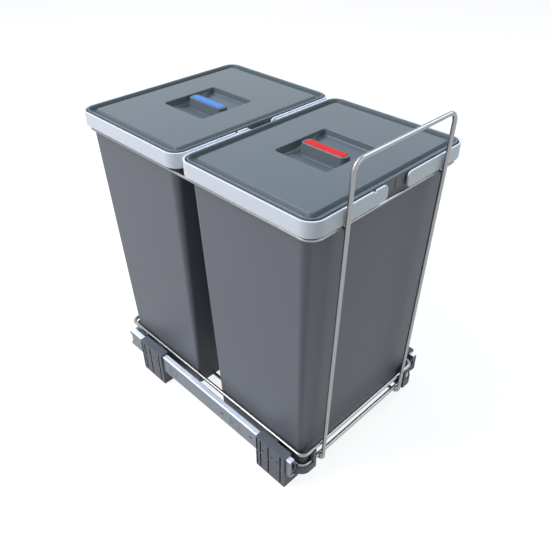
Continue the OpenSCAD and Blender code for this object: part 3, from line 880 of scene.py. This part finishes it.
@dataclass
class WireCradle:
    """Rings, pull handle, floor wires, uprights and stays, all of plated wire."""

    looks: Looks
    wire_r: float = 3.0
    wire_soft: float = 0.8
    thin_r: float = 2.0
    thin_soft: float = 0.4
    lower_z: float = 36.0
    upper_half: Pair = (135.91, 216.19)
    upper_z: float = 61.0
    top_half: Pair = (144.3, 225.1)
    top_bend: float = 18.0
    leg_x: float = 95.71
    leg_run: float = 489.71
    leg_bend: float = 14.0
    lean: float = 1.7
    floor_z: float = 24.3
    foot_y: float = -187.444
    foot_bend: float = 10.0
    upright_foot_y: float = 246.24
    upright_head: Pair = (254.15, 445.9)
    stay_gap: float = 1.0

    def build(self) -> None:
        """Builds every wire of the cradle."""
        self._ring("lower_ring", LOWER_RING, self.lower_z, RING_BEND, self.wire_r)
        self._ring("upper_ring", self.upper_half, self.upper_z, RING_BEND, self.wire_r)
        self._ring("top_ring", self.top_half, TOP_RING_Z, self.top_bend, self.thin_r)
        self._pull_handle()
        for side in Side:
            self._rear_upright(side)
        self._ring_stays()

    def _finish(self, mesh: Mesh, node: str, *others: str) -> None:
        """Finishes a wire that rides on the carriage and stands for one or more nodes."""
        fit = Fit("carriage", "plated_wire", (node, *others))
        finish_piece(mesh, f"{node}_wire", fit, self.looks)

    def _ring(self, node: str, half: Pair, z: float, bend: float, radius: float) -> None:
        """Builds one closed ring.

        Args:
            node: node that the ring stands for.
            half: half sizes on the wire's axis.
            z: height of the axis.
            bend: bend radius of the corners.
            radius: wire radius.
        """
        mesh = bmesh.new()
        half_x, half_y = half
        across, along = Vector((1, 0, 0)), Vector((0, 1, 0))
        sweep = WireSweep(mesh, radius, Vector((0, CRADLE_Y - half_y, z)), across)
        wide, deep = 2 * (half_x - bend), 2 * (half_y - bend)
        runs, turns = (wide / 2, deep, wide, deep), (along, -across, -along, across)
        for run, inwards in zip(runs, turns):
            sweep.straight(run).bend(bend, inwards)
        sweep.straight(wide / 2)
        bmesh.ops.remove_doubles(mesh, verts=mesh.verts, dist=FLUSH)
        self._finish(mesh, node)

    def _pull_handle(self) -> None:
        """Builds the handle, its foot curls and the floor wires as one bent wire."""
        mesh = bmesh.new()
        back_y = CRADLE_Y + LOWER_RING[1] + self.wire_r
        floor_run, leg_run = back_y - self.foot_y, self.leg_run - self.leg_bend
        lean = math.radians(self.lean)
        start = Vector((-self.leg_x, back_y, self.floor_z))
        sweep = WireSweep(mesh, self.wire_r, start, Vector((0, -1, 0)))
        sweep.straight(floor_run).bend(self.foot_bend, Vector((0, 0, 1)), 90 - self.lean)
        rise = sweep.heading.copy()
        sweep.straight(leg_run).bend(self.leg_bend, Vector((1, 0, 0)))
        sweep.straight(2 * (self.leg_x - self.leg_bend)).bend(self.leg_bend, -rise)
        back = Vector((0, math.cos(lean), math.sin(lean)))
        sweep.straight(leg_run).bend(self.foot_bend, back, 90 - self.lean)
        sweep.straight(floor_run).cap_ends(self.wire_soft)
        self._finish(mesh, "pull_handle", "floor_wire_left", "floor_wire_right")

    def _rear_upright(self, side: Side) -> None:
        """Builds one upright behind the rear bin.

        Args:
            side: side of the frame.
        """
        mesh = bmesh.new()
        foot = Vector((side.value * self.leg_x, self.upright_foot_y, self.upper_z))
        head = Vector((foot.x, *self.upright_head))
        along = (head - foot).normalized()
        below = self.upper_z - self.floor_z
        sweep = WireSweep(mesh, self.wire_r, foot - along * below, along)
        sweep.straight(below + head.z - foot.z).cap_ends(self.wire_soft)
        self._finish(mesh, f"rear_upright_{side.word}")

    def _ring_stays(self) -> None:
        """Builds the two short stays between the pull handle and the top ring."""
        mesh = bmesh.new()
        foot_top = self.floor_z + self.foot_bend
        leant = (TOP_RING_Z - foot_top) * math.tan(math.radians(self.lean))
        start_y = self.foot_y - self.foot_bend - leant + self.stay_gap
        end_y = CRADLE_Y - self.top_half[1] - self.stay_gap
        for side in Side:
            start = Vector((side.value * self.leg_x, start_y, TOP_RING_Z))
            sweep = WireSweep(mesh, self.thin_r, start, Vector((0, 1, 0)))
            sweep.straight(end_y - start_y).cap_ends(self.thin_soft)
        self._finish(mesh, "ring_stays")


@dataclass
class Bin:
    """One tapered waste bin with its flange, seamed collar and handle bosses."""

    looks: Looks
    place: Place
    middle_y: float
    base_z: float = 27.6
    base_half: Pair = (129.3, 87.4)
    ring_half: Pair = (142.0, 99.7)
    corners: Pair = (4.5, 11.0)
    wall: float = 2.5
    base_soft: float = 3.0
    floor_soft: float = 1.0
    edge_soft: float = 0.6
    rim_z: float = 459.7
    rim_t: float = 3.0
    collar_half: Pair = (145.4, 109.4)
    collar_corner: float = 16.4
    collar_t: float = 2.0
    collar_z: Pair = (450.0, 466.8)
    collar_soft: Pair = (0.4, 0.5)
    seam: Pair = (1.6, 1.1)
    seam_end: float = 1.0
    boss_r: float = 4.8
    boss_soft: float = 0.4
    boss_sides: int = 28
    boss_face_y: float = 111.1
    bore: Pair = (2.55, 6.5)

    def _outline(self, z: float, inset: float = 0.0) -> Outline:
        """Wall outline at a height.

        Args:
            z: height.
            inset: distance in from the outer face.

        Returns:
            The round-cornered rectangle there.
        """
        up = (z - self.base_z) / (TOP_RING_Z - self.base_z)
        foot, head = (*self.base_half, self.corners[0]), (*self.ring_half, self.corners[1])
        sizes = [low + (high - low) * up - inset for low, high in zip(foot, head)]
        return Outline(*sizes, z)

    def _collar(self, inset: float, z: float) -> Outline:
        """Collar outline at an inset from its outer face."""
        half_x, half_y = self.collar_half
        return Outline(half_x - inset, half_y - inset, self.collar_corner - inset, z)

    def build(self) -> None:
        """Builds the bin as one closed shell with its seams and bosses."""
        mesh = bmesh.new()
        under_z = self.rim_z - self.rim_t
        low, high = self.collar_z
        inner_soft, outer_soft = self.collar_soft
        shell = Loft.begin(mesh, self.middle_y, self._outline(self.base_z), self.base_soft)
        rings = [
            (self._outline(under_z), self.edge_soft),
            (self._collar(self.collar_t, under_z), 0.0),
            (self._collar(self.collar_t, low), inner_soft),
            (self._collar(0, low), outer_soft),
            (self._collar(0, high), self.edge_soft),
            (self._collar(self.collar_t, high), self.edge_soft),
            (self._collar(self.collar_t, self.rim_z), 0.0),
            (self._outline(self.rim_z, self.wall), self.edge_soft),
            (self._outline(self.base_z + self.wall, self.wall), self.floor_soft),
        ]
        for ring, soft in rings:
            shell.to(ring, soft)
        shell.cap()
        shell.round_off()
        for end in (-1, 1):
            self._seam(mesh, end)
            self._bosses(mesh, end)
        node = f"{self.place.word}_bin"
        finish_piece(mesh, f"{node}_body", Fit(node, "bin_plastic", (node,)), self.looks)

    def _seam(self, mesh: Mesh, end: int) -> None:
        """Sinks the seam into the middle of the collar.

        Args:
            mesh: mesh of the bin.
            end: -1 for the front, 1 for the back.
        """
        wide, deep = self.seam
        low, high = self.collar_z
        face_y = self.middle_y + end * self.collar_half[1]
        flush = [f for f in mesh.faces if abs(f.calc_center_median().y - face_y) < FLUSH]
        faces = [max(flush, key=lambda f: f.calc_area())]
        for x in (-wide / 2, wide / 2):
            faces = cut(mesh, faces, (x, 0, 0), (1, 0, 0))
        for z in (low + self.seam_end, high - self.seam_end):
            faces = cut(mesh, faces, (0, 0, z), (0, 0, 1))
        middle = Vector((0, face_y, (low + high) / 2))
        slot = min(faces, key=lambda f: (f.calc_center_median() - middle).length)
        sunk = bmesh.ops.extrude_discrete_faces(mesh, faces=[slot])["faces"]
        bmesh.ops.translate(mesh, vec=(0, -end * deep, 0), verts=sunk[0].verts)

    def _bosses(self, mesh: Mesh, end: int) -> None:
        """Adds the two bored bosses that take the carry handles' pins.

        Args:
            mesh: mesh of the bin.
            end: -1 for the front wall, 1 for the back wall.
        """
        root_y = self._outline(PIVOT_Z).half_y - self.wall / 2
        length = self.boss_face_y - root_y
        boss = Peg(self.boss_r, length, self.boss_soft, self.boss_sides, self.bore)
        for x in (-PIVOT_X, PIVOT_X):
            middle = Vector((x, self.middle_y + end * (root_y + length / 2), PIVOT_Z))
            boss.add_to(mesh, middle, end)


@dataclass
class Lid:
    """One lid: lip, groove, raised panel, finger pocket, grip and coloured insert."""

    looks: Looks
    place: Place
    middle_y: float
    insert_slot: str
    lip_half: Pair = (145.6, 109.6)
    lip_corner: float = 16.6
    lip_w: float = 2.8
    lip_z: Pair = (467.1, 468.7)
    lip_soft: Triple = (0.4, 0.6, 0.7)
    seat_inset: float = 2.6
    seat_soft: float = 0.6
    plate_z: float = 460.0
    # Groove, foot and head of the slope: inset from the lip, height, corner, rounding
    edge_steps: tuple[tuple[float, float, float, float], ...] = (
        (4.4, 462.0, 12.4, 0.8), (10.5, 461.6, 7.4, 1.2), (14.1, 467.5, 3.8, 0.9)
    )
    panel_z: float = 467.5
    wall: float = 2.2
    skirt_half: Pair = (139.27, 96.96)
    skirt_corner: float = 8.09
    skirt_t: float = 2.0
    skirt_z: float = 453.0
    skirt_soft: float = 0.5
    hollow_half: Pair = (134.0, 94.46)
    roof_half: Pair = (129.3, 94.18)
    roof_soft: float = 0.8
    pocket_half: Pair = (48.5, 44.0)
    pocket_corner: float = 5.0
    pocket_draft: Pair = (1.5, 0.2)
    pocket_soft: Pair = (1.3, 1.5)
    pocket_side_z: float = 458.5
    pocket_mid_z: float = 450.5
    pocket_mid_half: float = 10.75
    grip_foot: Triple = (10.7, 37.95, 7.9)
    grip_head: Triple = (8.7, 36.4, 6.8)
    grip_fillet: float = 2.6
    grip_sunk: Pair = (0.3, 0.2)
    grip_z: float = 468.2
    grip_soft: float = 1.1
    seat_z: float = 466.5
    seat_gap: float = 0.1
    insert_outline: Triple = (6.6, 33.85, 6.0)
    insert_z: float = 468.9
    insert_soft: float = 2.0

    def build(self) -> None:
        """Builds the lid and its insert."""
        mesh = bmesh.new()
        self._shell(mesh)
        self._grip(mesh)
        node = f"{self.place.word}_lid"
        finish_piece(mesh, f"{node}_body", Fit(node, "lid_plastic", (node,)), self.looks)
        self._insert(node)

    def _lip(self, inset: float, z: float, corner: float | None = None) -> Outline:
        """Outline that follows the lip at an inset.

        Args:
            inset: distance in from the lip's outer face.
            z: height.
            corner: corner radius, where it doesn't follow the lip's.

        Returns:
            The round-cornered rectangle there.
        """
        half_x, half_y = self.lip_half
        radius = self.lip_corner - inset if corner is None else corner
        return Outline(half_x - inset, half_y - inset, radius, z)

    def _shell(self, mesh: Mesh) -> None:
        """Draws the lid's top, then its underside, from the lip's lower edge.

        Args:
            mesh: mesh that takes the shell.
        """
        low, high = self.lip_z
        foot_soft, outer_soft, inner_soft = self.lip_soft
        top = Loft.begin(mesh, self.middle_y, self._lip(0, low), foot_soft, closed=False)
        under = Loft(mesh, self.middle_y, top.now, top.ring)
        top.to(self._lip(0, high), outer_soft)
        top.to(self._lip(self.lip_w, high), inner_soft)
        for *shape, soft in self.edge_steps:
            top.to(self._lip(*shape), soft)
        corner = self.pocket_corner
        floor = [half - draft for half, draft in zip(self.pocket_half, self.pocket_draft)]
        top.to(Outline(*self.pocket_half, corner, self.panel_z), self.pocket_soft[0])
        top.to(Outline(*floor, corner, self.pocket_side_z))
        self._slope(mesh, top.cap(), 0.0)

        inner = [half - self.skirt_t for half in self.skirt_half]
        inner_corner = self.skirt_corner - self.skirt_t
        tub_x, tub_y, tub_corner = (v + self.wall for v in (*self.pocket_half, corner))
        roof_z, side_z = self.panel_z - self.wall, self.pocket_side_z - self.wall
        rings = [
            (self._lip(self.seat_inset, low), 0.0),
            (self._lip(self.seat_inset, self.plate_z), self.seat_soft),
            (Outline(*self.skirt_half, self.skirt_corner, self.plate_z), 0.0),
            (Outline(*self.skirt_half, self.skirt_corner, self.skirt_z), self.skirt_soft),
            (Outline(*inner, inner_corner, self.skirt_z), self.skirt_soft),
            (Outline(*inner, inner_corner, self.plate_z), 0.0),
            (Outline(*self.hollow_half, inner_corner, self.plate_z), 0.0),
            (Outline(*self.roof_half, inner_corner / 2, roof_z), self.roof_soft),
            (Outline(tub_x, tub_y, tub_corner, roof_z), 0.0),
            (Outline(floor[0] + self.wall, tub_y, tub_corner, side_z), 0.0),
        ]
        for ring, soft in rings:
            under.to(ring, soft)
        self._slope(mesh, under.cap(), self.wall)
        top.round_off()
        under.round_off()

    def _slope(self, mesh: Mesh, floor: Face, drop: float) -> None:
        """Lowers a pocket floor towards its middle in two slopes.

        Args:
            mesh: mesh of the lid.
            floor: flat floor face.
            drop: distance below the pocket's inner floor, whose own edge is rounded.
        """
        faces = [floor]
        for x in (-self.pocket_mid_half, self.pocket_mid_half):
            faces = cut(mesh, faces, (x, 0, 0), (1, 0, 0))
        reach = self.pocket_half[0] - self.pocket_draft[0]
        fall = self.pocket_side_z - self.pocket_mid_z
        for vert in {v for f in faces for v in f.verts}:
            along = (reach - abs(vert.co.x)) / (reach - self.pocket_mid_half)
            vert.co.z = self.pocket_side_z - fall * min(max(along, 0.0), 1.0) - drop
        if drop == 0:
            edges = {e for f in faces for e in f.edges}
            rim = [e for e in edges if not set(e.link_faces) <= set(faces)]
            soften(mesh, rim, self.pocket_soft[1])

    def _grip(self, mesh: Mesh) -> None:
        """Adds the grip bar with the seat of its insert.

        Args:
            mesh: mesh of the lid.
        """
        part = bmesh.new()
        skirt_sunk, foot_sunk = self.grip_sunk
        skirt = [v + self.grip_fillet for v in self.grip_foot]
        seat = [v + self.seat_gap for v in self.insert_outline]
        start = Outline(*skirt, self.pocket_mid_z - skirt_sunk)
        bar = Loft.begin(part, self.middle_y, start)
        foot_z = self.pocket_mid_z + self.grip_fillet - foot_sunk
        bar.to(Outline(*self.grip_foot, foot_z), self.grip_fillet / 2)
        bar.to(Outline(*self.grip_head, self.grip_z), self.grip_soft)
        bar.to(Outline(*seat, self.grip_z))
        bar.to(Outline(*seat, self.seat_z))
        bar.cap()
        bar.round_off()
        join(mesh, part)

    def _insert(self, node: str) -> None:
        """Builds the coloured insert on the grip.

        Args:
            node: node of the lid.
        """
        mesh = bmesh.new()
        strip = Loft.begin(mesh, self.middle_y, Outline(*self.insert_outline, self.seat_z))
        strip.to(Outline(*self.insert_outline, self.insert_z), self.insert_soft)
        strip.cap()
        strip.round_off()
        fit = Fit(node, self.insert_slot, (f"{node}_insert",))
        finish_piece(mesh, f"{node}_insert_strip", fit, self.looks)


@dataclass
class CarryHandle:
    """One of the two swinging half bands that lift a bin."""

    looks: Looks
    place: Place
    side: Side
    middle_y: float
    half: Pair = (150.0, 114.0)
    corner: float = 21.0
    corner_steps: int = 12
    thick: float = 2.6
    low_z: float = 446.5
    high_z: float = 467.5
    tab_x: float = 19.7
    tab_corner: float = 7.0
    tab_steps: int = 9
    weld: float = 0.05
    edge_soft: float = 0.6
    notch: Triple = (44.0, 4.5, 2.4)
    pin_r: float = 2.5
    pin_len: float = 7.8
    pin_soft: float = 0.5
    pin_sides: int = 24

    def build(self) -> None:
        """Builds the band flat, then bends it round the bin."""
        mesh = bmesh.new()
        self._flat_band(mesh)
        soften(mesh, sharp_edges(mesh), self.edge_soft)
        for vert in mesh.verts:
            vert.co = self._bent(vert.co)
        # The pins stand behind the tabs and point in towards the bin.
        pin = Peg(self.pin_r, self.pin_len, self.pin_soft, self.pin_sides)
        pin_y = self.half[1] - (self.thick + self.pin_len) / 2
        for end in (-1, 1):
            pin.add_to(mesh, Vector((-PIVOT_X, end * pin_y, PIVOT_Z)), -end)
        if self.side is Side.RIGHT:
            bmesh.ops.scale(mesh, vec=(-1, 1, 1), verts=mesh.verts)
        bmesh.ops.translate(mesh, vec=(0, self.middle_y, 0), verts=mesh.verts)
        node = f"{self.place.word}_handle_{self.side.word}"
        finish_piece(mesh, f"{node}_band", Fit(node, "light_plastic", (node,)), self.looks)

    def _runs(self) -> Triple:
        """Measures the unrolled band on its middle.

        Returns:
            Lengths of an arm, a corner and the side.
        """
        half_x, half_y = self.half
        arm = half_x - self.corner - self.tab_x
        bend = (self.corner - self.thick / 2) * math.pi / 2
        return arm, bend, 2 * (half_y - self.corner)

    def _flat_band(self, mesh: Mesh) -> None:
        """Draws the unrolled band: length along X, thickness along Y, height along Z.

        Args:
            mesh: mesh that takes the band.
        """
        arm, bend, side = self._runs()
        half = (arm + bend + side / 2, (self.high_z - self.low_z) / 2)
        rounded_sheet(mesh, half, (*half, 0), self.tab_corner, self.tab_steps)
        bmesh.ops.remove_doubles(mesh, verts=mesh.verts, dist=self.weld)
        for start in (arm, arm + bend + side):
            for step in range(self.corner_steps + 1):
                at = start + bend * step / self.corner_steps
                cut(mesh, list(mesh.faces), (at, 0, 0), (1, 0, 0))
        if self.side is Side.LEFT:
            self._cut_notch(mesh)
        bmesh.ops.rotate(mesh, matrix=Matrix.Rotation(math.pi / 2, 3, "X"), verts=mesh.verts)
        bmesh.ops.translate(mesh, vec=(0, -self.thick / 2, self.low_z), verts=mesh.verts)
        raised = bmesh.ops.extrude_face_region(mesh, geom=list(mesh.faces))["geom"]
        moved = [g for g in raised if isinstance(g, Vert)]
        bmesh.ops.translate(mesh, vec=(0, self.thick, 0), verts=moved)
        bmesh.ops.recalc_face_normals(mesh, faces=mesh.faces)

    def _cut_notch(self, mesh: Mesh) -> None:
        """Takes a small notch out of the flat band's top edge.

        Args:
            mesh: flat band.
        """
        at, wide, deep = self.notch
        start, stop = at - self.tab_x - wide / 2, at - self.tab_x + wide / 2
        floor = self.high_z - self.low_z - deep
        for end in (start, stop):
            cut(mesh, list(mesh.faces), (end, 0, 0), (1, 0, 0))
        inside = [f for f in mesh.faces if start < f.calc_center_median().x < stop]
        halves = cut(mesh, inside, (0, floor, 0), (0, 1, 0))
        gone = [f for f in halves if f.calc_center_median().y > floor]
        bmesh.ops.delete(mesh, geom=gone, context="FACES")

    def _bent(self, flat: Vector) -> Vector:
        """Moves a point of the flat band to its place round the bin.

        Args:
            flat: point with length along X and distance outwards along Y.

        Returns:
            The point on the left half of the bin.
        """
        arm, bend, side = self._runs()
        turn_x, turn_y = (half - self.corner for half in self.half)
        radius = self.corner - self.thick / 2 + flat.y
        # The band's rear half mirrors its front half.
        middle = arm + bend + side / 2
        run = middle - abs(flat.x - middle)
        if run <= arm:
            x, y = self.tab_x + run, turn_y + radius
        elif run <= arm + bend:
            angle = (run - arm) / bend * math.pi / 2
            x, y = turn_x + radius * math.sin(angle), turn_y + radius * math.cos(angle)
        else:
            x, y = turn_x + radius, turn_y - (run - arm - bend)
        return Vector((-x, y if flat.x > middle else -y, flat.z))


@dataclass
class MouldedFittings:
    """Floor brackets and corner saddles: the part's own solids with softened edges.

    The brackets' grooves are opened a little, and each saddle gets the thin wall that
    stands inside the lower ring's corner.
    """

    looks: Looks
    frame: dict
    weld: float = 0.002
    flat_turn: float = 1.0
    edge_turn: float = 50.0
    edge_soft: float = 0.3
    shortest: float = 1.2
    near: float = 0.02
    bracket_y: float = 148.5
    plate_x: float = 160.41
    groove_at: tuple[float, ...] = (28.0, 20.0, 3.5, -21.5)
    groove: Pair = (1.7, 1.6)
    groove_growth: Pair = (1.5, 1.45)
    saddle_runs: Pair = (40.0, 13.5)
    # Wall and its foot: inset from the ring's axis, thickness, lower and upper edge
    shield: tuple[tuple[float, float, float, float], ...] = (
        (4.05, 1.9, 22.0, 57.0), (3.45, 3.1, 22.0, 31.0)
    )

    def build(self) -> None:
        """Builds every bracket and saddle."""
        for place in Place:
            for side in Side:
                bracket = f"bracket_{place.word}_{side.word}"
                mesh = self._softened(bracket, place)
                self._finish(mesh, bracket, "base")
                saddle = f"saddle_{place.word}_{side.word}"
                mesh = self._softened(saddle)
                join(mesh, self._shield(place, side))
                self._finish(mesh, saddle, "carriage")

    def _softened(self, node: str, grooves: Place | None = None) -> Mesh:
        """Takes a merged copy of a solid, in millimetres, and rounds its edges.

        Args:
            node: node to copy.
            grooves: end of the frame, for a bracket whose grooves are opened first.

        Returns:
            The copy, with flat faces made whole and edges rounded.
        """
        mesh = bmesh.new()
        mesh.from_mesh(self.frame["nodes"][node].data)
        bmesh.ops.scale(mesh, vec=(1 / MM, 1 / MM, 1 / MM), verts=mesh.verts)
        bmesh.ops.remove_doubles(mesh, verts=mesh.verts, dist=self.weld)
        limit = math.radians(self.flat_turn)
        bmesh.ops.dissolve_limit(mesh, angle_limit=limit, verts=mesh.verts, edges=mesh.edges)
        if grooves is not None:
            self._widen_grooves(mesh, grooves)
        edges = sharp_edges(mesh, self.edge_turn, self.shortest)
        soften(mesh, edges, self.edge_soft, 2)
        return mesh

    def _widen_grooves(self, mesh: Mesh, place: Place) -> None:
        """Opens the outer plate's grooves so that their edges can be rounded.

        Args:
            mesh: copy of a bracket.
            place: end of the frame.
        """
        wide, deep = self.groove
        wider, deeper = self.groove_growth
        floor_x = self.plate_x - deep
        for at in self.groove_at:
            middle = place.value * self.bracket_y + at
            walls = [
                v
                for v in mesh.verts
                if abs(v.co.y - middle) < wide / 2 + self.near
                and abs(v.co.x) > floor_x - self.near
            ]
            bmesh.ops.scale(
                mesh, vec=(1, wider, 1), space=Matrix.Translation((0, -middle, 0)), verts=walls
            )
            for vert in walls:
                if abs(vert.co.x) < floor_x + self.near:
                    vert.co.x *= (self.plate_x - deep * deeper) / floor_x

    def _shield(self, place: Place, side: Side) -> Mesh:
        """Builds the thin wall that stands inside the lower ring's corner.

        Args:
            place: end of the frame.
            side: side of the frame.

        Returns:
            The wall and its foot, closed shells in millimetres.
        """
        mesh = bmesh.new()
        half_x, half_y = LOWER_RING
        arm, front = self.saddle_runs
        quarter = Matrix.Rotation(math.radians(45), 3, "Y")
        for inset, thick, low, high in self.shield:
            start = Vector((inset - half_x, arm + RING_BEND - half_y, (low + high) / 2))
            # A square section of side 1, turned upright and scaled to the wall's own.
            sweep = WireSweep(mesh, math.sqrt(0.5), start, Vector((0, -1, 0)), around=4)
            verts = list({v for e in sweep.ring for v in e.verts})
            bmesh.ops.rotate(mesh, cent=start, matrix=quarter, verts=verts)
            bmesh.ops.scale(
                mesh, vec=(thick, 1, high - low), space=Matrix.Translation(-start), verts=verts
            )
            sweep.straight(arm).bend(RING_BEND - inset, Vector((1, 0, 0)))
            sweep.straight(front).cap_ends(self.edge_soft)
        bmesh.ops.scale(mesh, vec=(-side.value, -place.value, 1), verts=mesh.verts)
        bmesh.ops.translate(mesh, vec=(0, CRADLE_Y, 0), verts=mesh.verts)
        return mesh

    def _finish(self, mesh: Mesh, node: str, body: str) -> None:
        """Finishes a moulding that stands for a node."""
        finish_piece(mesh, f"{node}_moulding", Fit(body, "dark_plastic", (node,)), self.looks)


@dataclass
class SlideMetal:
    """Rails, cages, balls and fasteners: solids that keep their shape."""

    looks: Looks
    frame: dict
    rails: tuple[str, ...] = ("cabinet_rail", "middle_rail", "drawer_rail")
    races: tuple[str, ...] = ("outer_cage", "outer_balls", "inner_cage", "inner_balls")
    fasteners: tuple[str, ...] = ("rail_rivets", "saddle_screws")

    def build(self) -> None:
        """Dresses each metal node in its finish."""
        for side in Side:
            for rail in self.rails:
                self._dress(f"{rail}_{side.word}", "zinc_sheet")
            for race in self.races:
                self._dress(f"{race}_{side.word}", "plain_steel")
        for node in self.fasteners:
            self._dress(node, "plain_steel")

    def _dress(self, node: str, slot: str) -> None:
        """Gives a node its finish.

        Args:
            node: node to dress.
            slot: material slot.
        """
        data = self.frame["nodes"][node].data
        data.materials.clear()
        data.materials.append(self.looks[slot])
        LOG.info("%s: solid dressed in %s", node, slot)


# Studio


@dataclass(frozen=True)
class Lamp:
    """A soft area lamp aimed at the object, with sizes in metres and power in watts."""

    name: str
    place: Triple
    size: float
    power: float
    colour: str

    def build(self, aim: Vector) -> None:
        """Places the lamp.

        Args:
            aim: point that the lamp faces, in metres.
        """
        data = bpy.data.lights.new(self.name, "AREA")
        data.shape, data.size = "SQUARE", self.size
        data.energy, data.color = self.power, linear(self.colour)[:3]
        lamp = bpy.data.objects.new(self.name, data)
        lamp.location = self.place
        lamp.rotation_mode = "QUATERNION"
        lamp.rotation_quaternion = (aim - lamp.location).to_track_quat("-Z", "Y")
        bpy.context.scene.collection.objects.link(lamp)


@dataclass
class Studio:
    """Pale floor, soft light and the camera; lamps and floor are in metres."""

    aim: Triple = (0.0, 0.024, 0.25)
    lamps: tuple[Lamp, ...] = (
        Lamp("key_lamp", (-1.6, 1.3, 2.6), 1.4, 54.0, "#fffefb"),
        Lamp("overhead_lamp", (-0.25, 1.0, 3.0), 1.8, 37.0, "#b0ceff"),
        Lamp("right_lamp", (1.8, -0.75, 2.15), 1.2, 23.0, "#d8eaff"),
        Lamp("front_lamp", (1.0, -2.9, 1.2), 2.0, 14.0, "#f6fff0"),
        Lamp("left_lamp", (-2.7, 0.65, 1.7), 2.0, 28.0, "#f6f9ff"),
    )
    floor_size: float = 14.0
    sky: float = 0.20
    sky_colour: str = "#f4f7ff"
    floor_shade: str = "#8a8a8a"
    floor_glow: float = 0.86
    floor_bounce: str = "#909090"
    eye: Triple = (-541.3, -548.1, 792.5)
    target: Triple = (-5.35, -6.0, 224.35)
    sensor: float = 36.0
    lens: float = 39.12
    roll: float = -0.31
    clip: Pair = (0.01, 100.0)

    def build(self) -> None:
        """Builds the whole studio."""
        self._world()
        self._floor()
        for lamp in self.lamps:
            lamp.build(Vector(self.aim))
        self._camera()
        bpy.context.scene.view_settings.view_transform = "Standard"

    @staticmethod
    def _seen(tree: Tree) -> Socket:
        """Output that is 1 for camera, glossy and transmission rays.

        Args:
            tree: node tree that takes the nodes.

        Returns:
            The output socket.
        """
        path = add_node(tree, "ShaderNodeLightPath").outputs
        seen = path["Is Camera Ray"]
        for kind in ("Is Glossy Ray", "Is Transmission Ray"):
            seen = add_node(
                tree, "ShaderNodeMath", {"operation": "MAXIMUM"}, {0: seen, 1: path[kind]}
            ).outputs[0]
        return seen

    def _world(self) -> None:
        """Soft sky for light, plain white where it is seen."""
        world = bpy.data.worlds.new("studio")
        bpy.context.scene.world = world
        world.use_nodes = True
        tree = world.node_tree
        tree.nodes.clear()
        light, white = (
            add_node(
                tree, "ShaderNodeBackground", inputs={"Color": linear(colour), "Strength": strength}
            ).outputs[0]
            for colour, strength in ((self.sky_colour, self.sky), (WHITE, 1.0))
        )
        both = add_node(
            tree, "ShaderNodeMixShader", inputs={0: self._seen(tree), 1: light, 2: white}
        )
        add_node(tree, "ShaderNodeOutputWorld", inputs={"Surface": both.outputs[0]})

    def _floor(self) -> None:
        """White floor that keeps the shadow and throws back little light."""
        mesh = bmesh.new()
        bmesh.ops.create_grid(mesh, x_segments=1, y_segments=1, size=self.floor_size / 2)
        data = bpy.data.meshes.new("studio_floor")
        mesh.to_mesh(data)
        mesh.free()
        material, tree = new_material("paper_backdrop")
        bounce, paper = (
            add_node(tree, "ShaderNodeBsdfDiffuse", inputs={"Color": linear(colour)}).outputs[0]
            for colour in (self.floor_bounce, self.floor_shade)
        )
        glow = add_node(
            tree, "ShaderNodeEmission", inputs={"Color": linear(WHITE), "Strength": self.floor_glow}
        ).outputs[0]
        white = add_node(tree, "ShaderNodeAddShader", inputs={0: paper, 1: glow}).outputs[0]
        both = add_node(
            tree, "ShaderNodeMixShader", inputs={0: self._seen(tree), 1: bounce, 2: white}
        )
        add_node(tree, "ShaderNodeOutputMaterial", inputs={"Surface": both.outputs[0]})
        data.materials.append(material)
        floor = bpy.data.objects.new("studio_floor", data)
        bpy.context.scene.collection.objects.link(floor)

    def _camera(self) -> None:
        """Camera at the photograph's viewing angle."""
        data = bpy.data.cameras.new("camera")
        data.sensor_width, data.lens = self.sensor, self.lens
        data.clip_start, data.clip_end = self.clip
        camera = bpy.data.objects.new("camera", data)
        eye, target = Vector(self.eye) * MM, Vector(self.target) * MM
        aim = (target - eye).to_track_quat("-Z", "Y").to_matrix()
        roll = Matrix.Rotation(math.radians(self.roll), 3, "Z")
        camera.matrix_world = Matrix.Translation(eye) @ (aim @ roll).to_4x4()
        bpy.context.scene.collection.objects.link(camera)
        bpy.context.scene.camera = camera


def main() -> None:
    """Builds the studio and every sub-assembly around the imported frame."""
    logging.basicConfig(level=logging.INFO, format="%(message)s")
    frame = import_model()
    looks = make_finishes()
    Studio().build()
    SlideMetal(looks, frame).build()
    MouldedFittings(looks, frame).build()
    WireCradle(looks).build()
    for place, (middle_y, insert) in BINS.items():
        Bin(looks, place, middle_y).build()
        Lid(looks, place, middle_y, insert).build()
        for side in Side:
            CarryHandle(looks, place, side, middle_y).build()


if __name__ == "__main__":
    main()
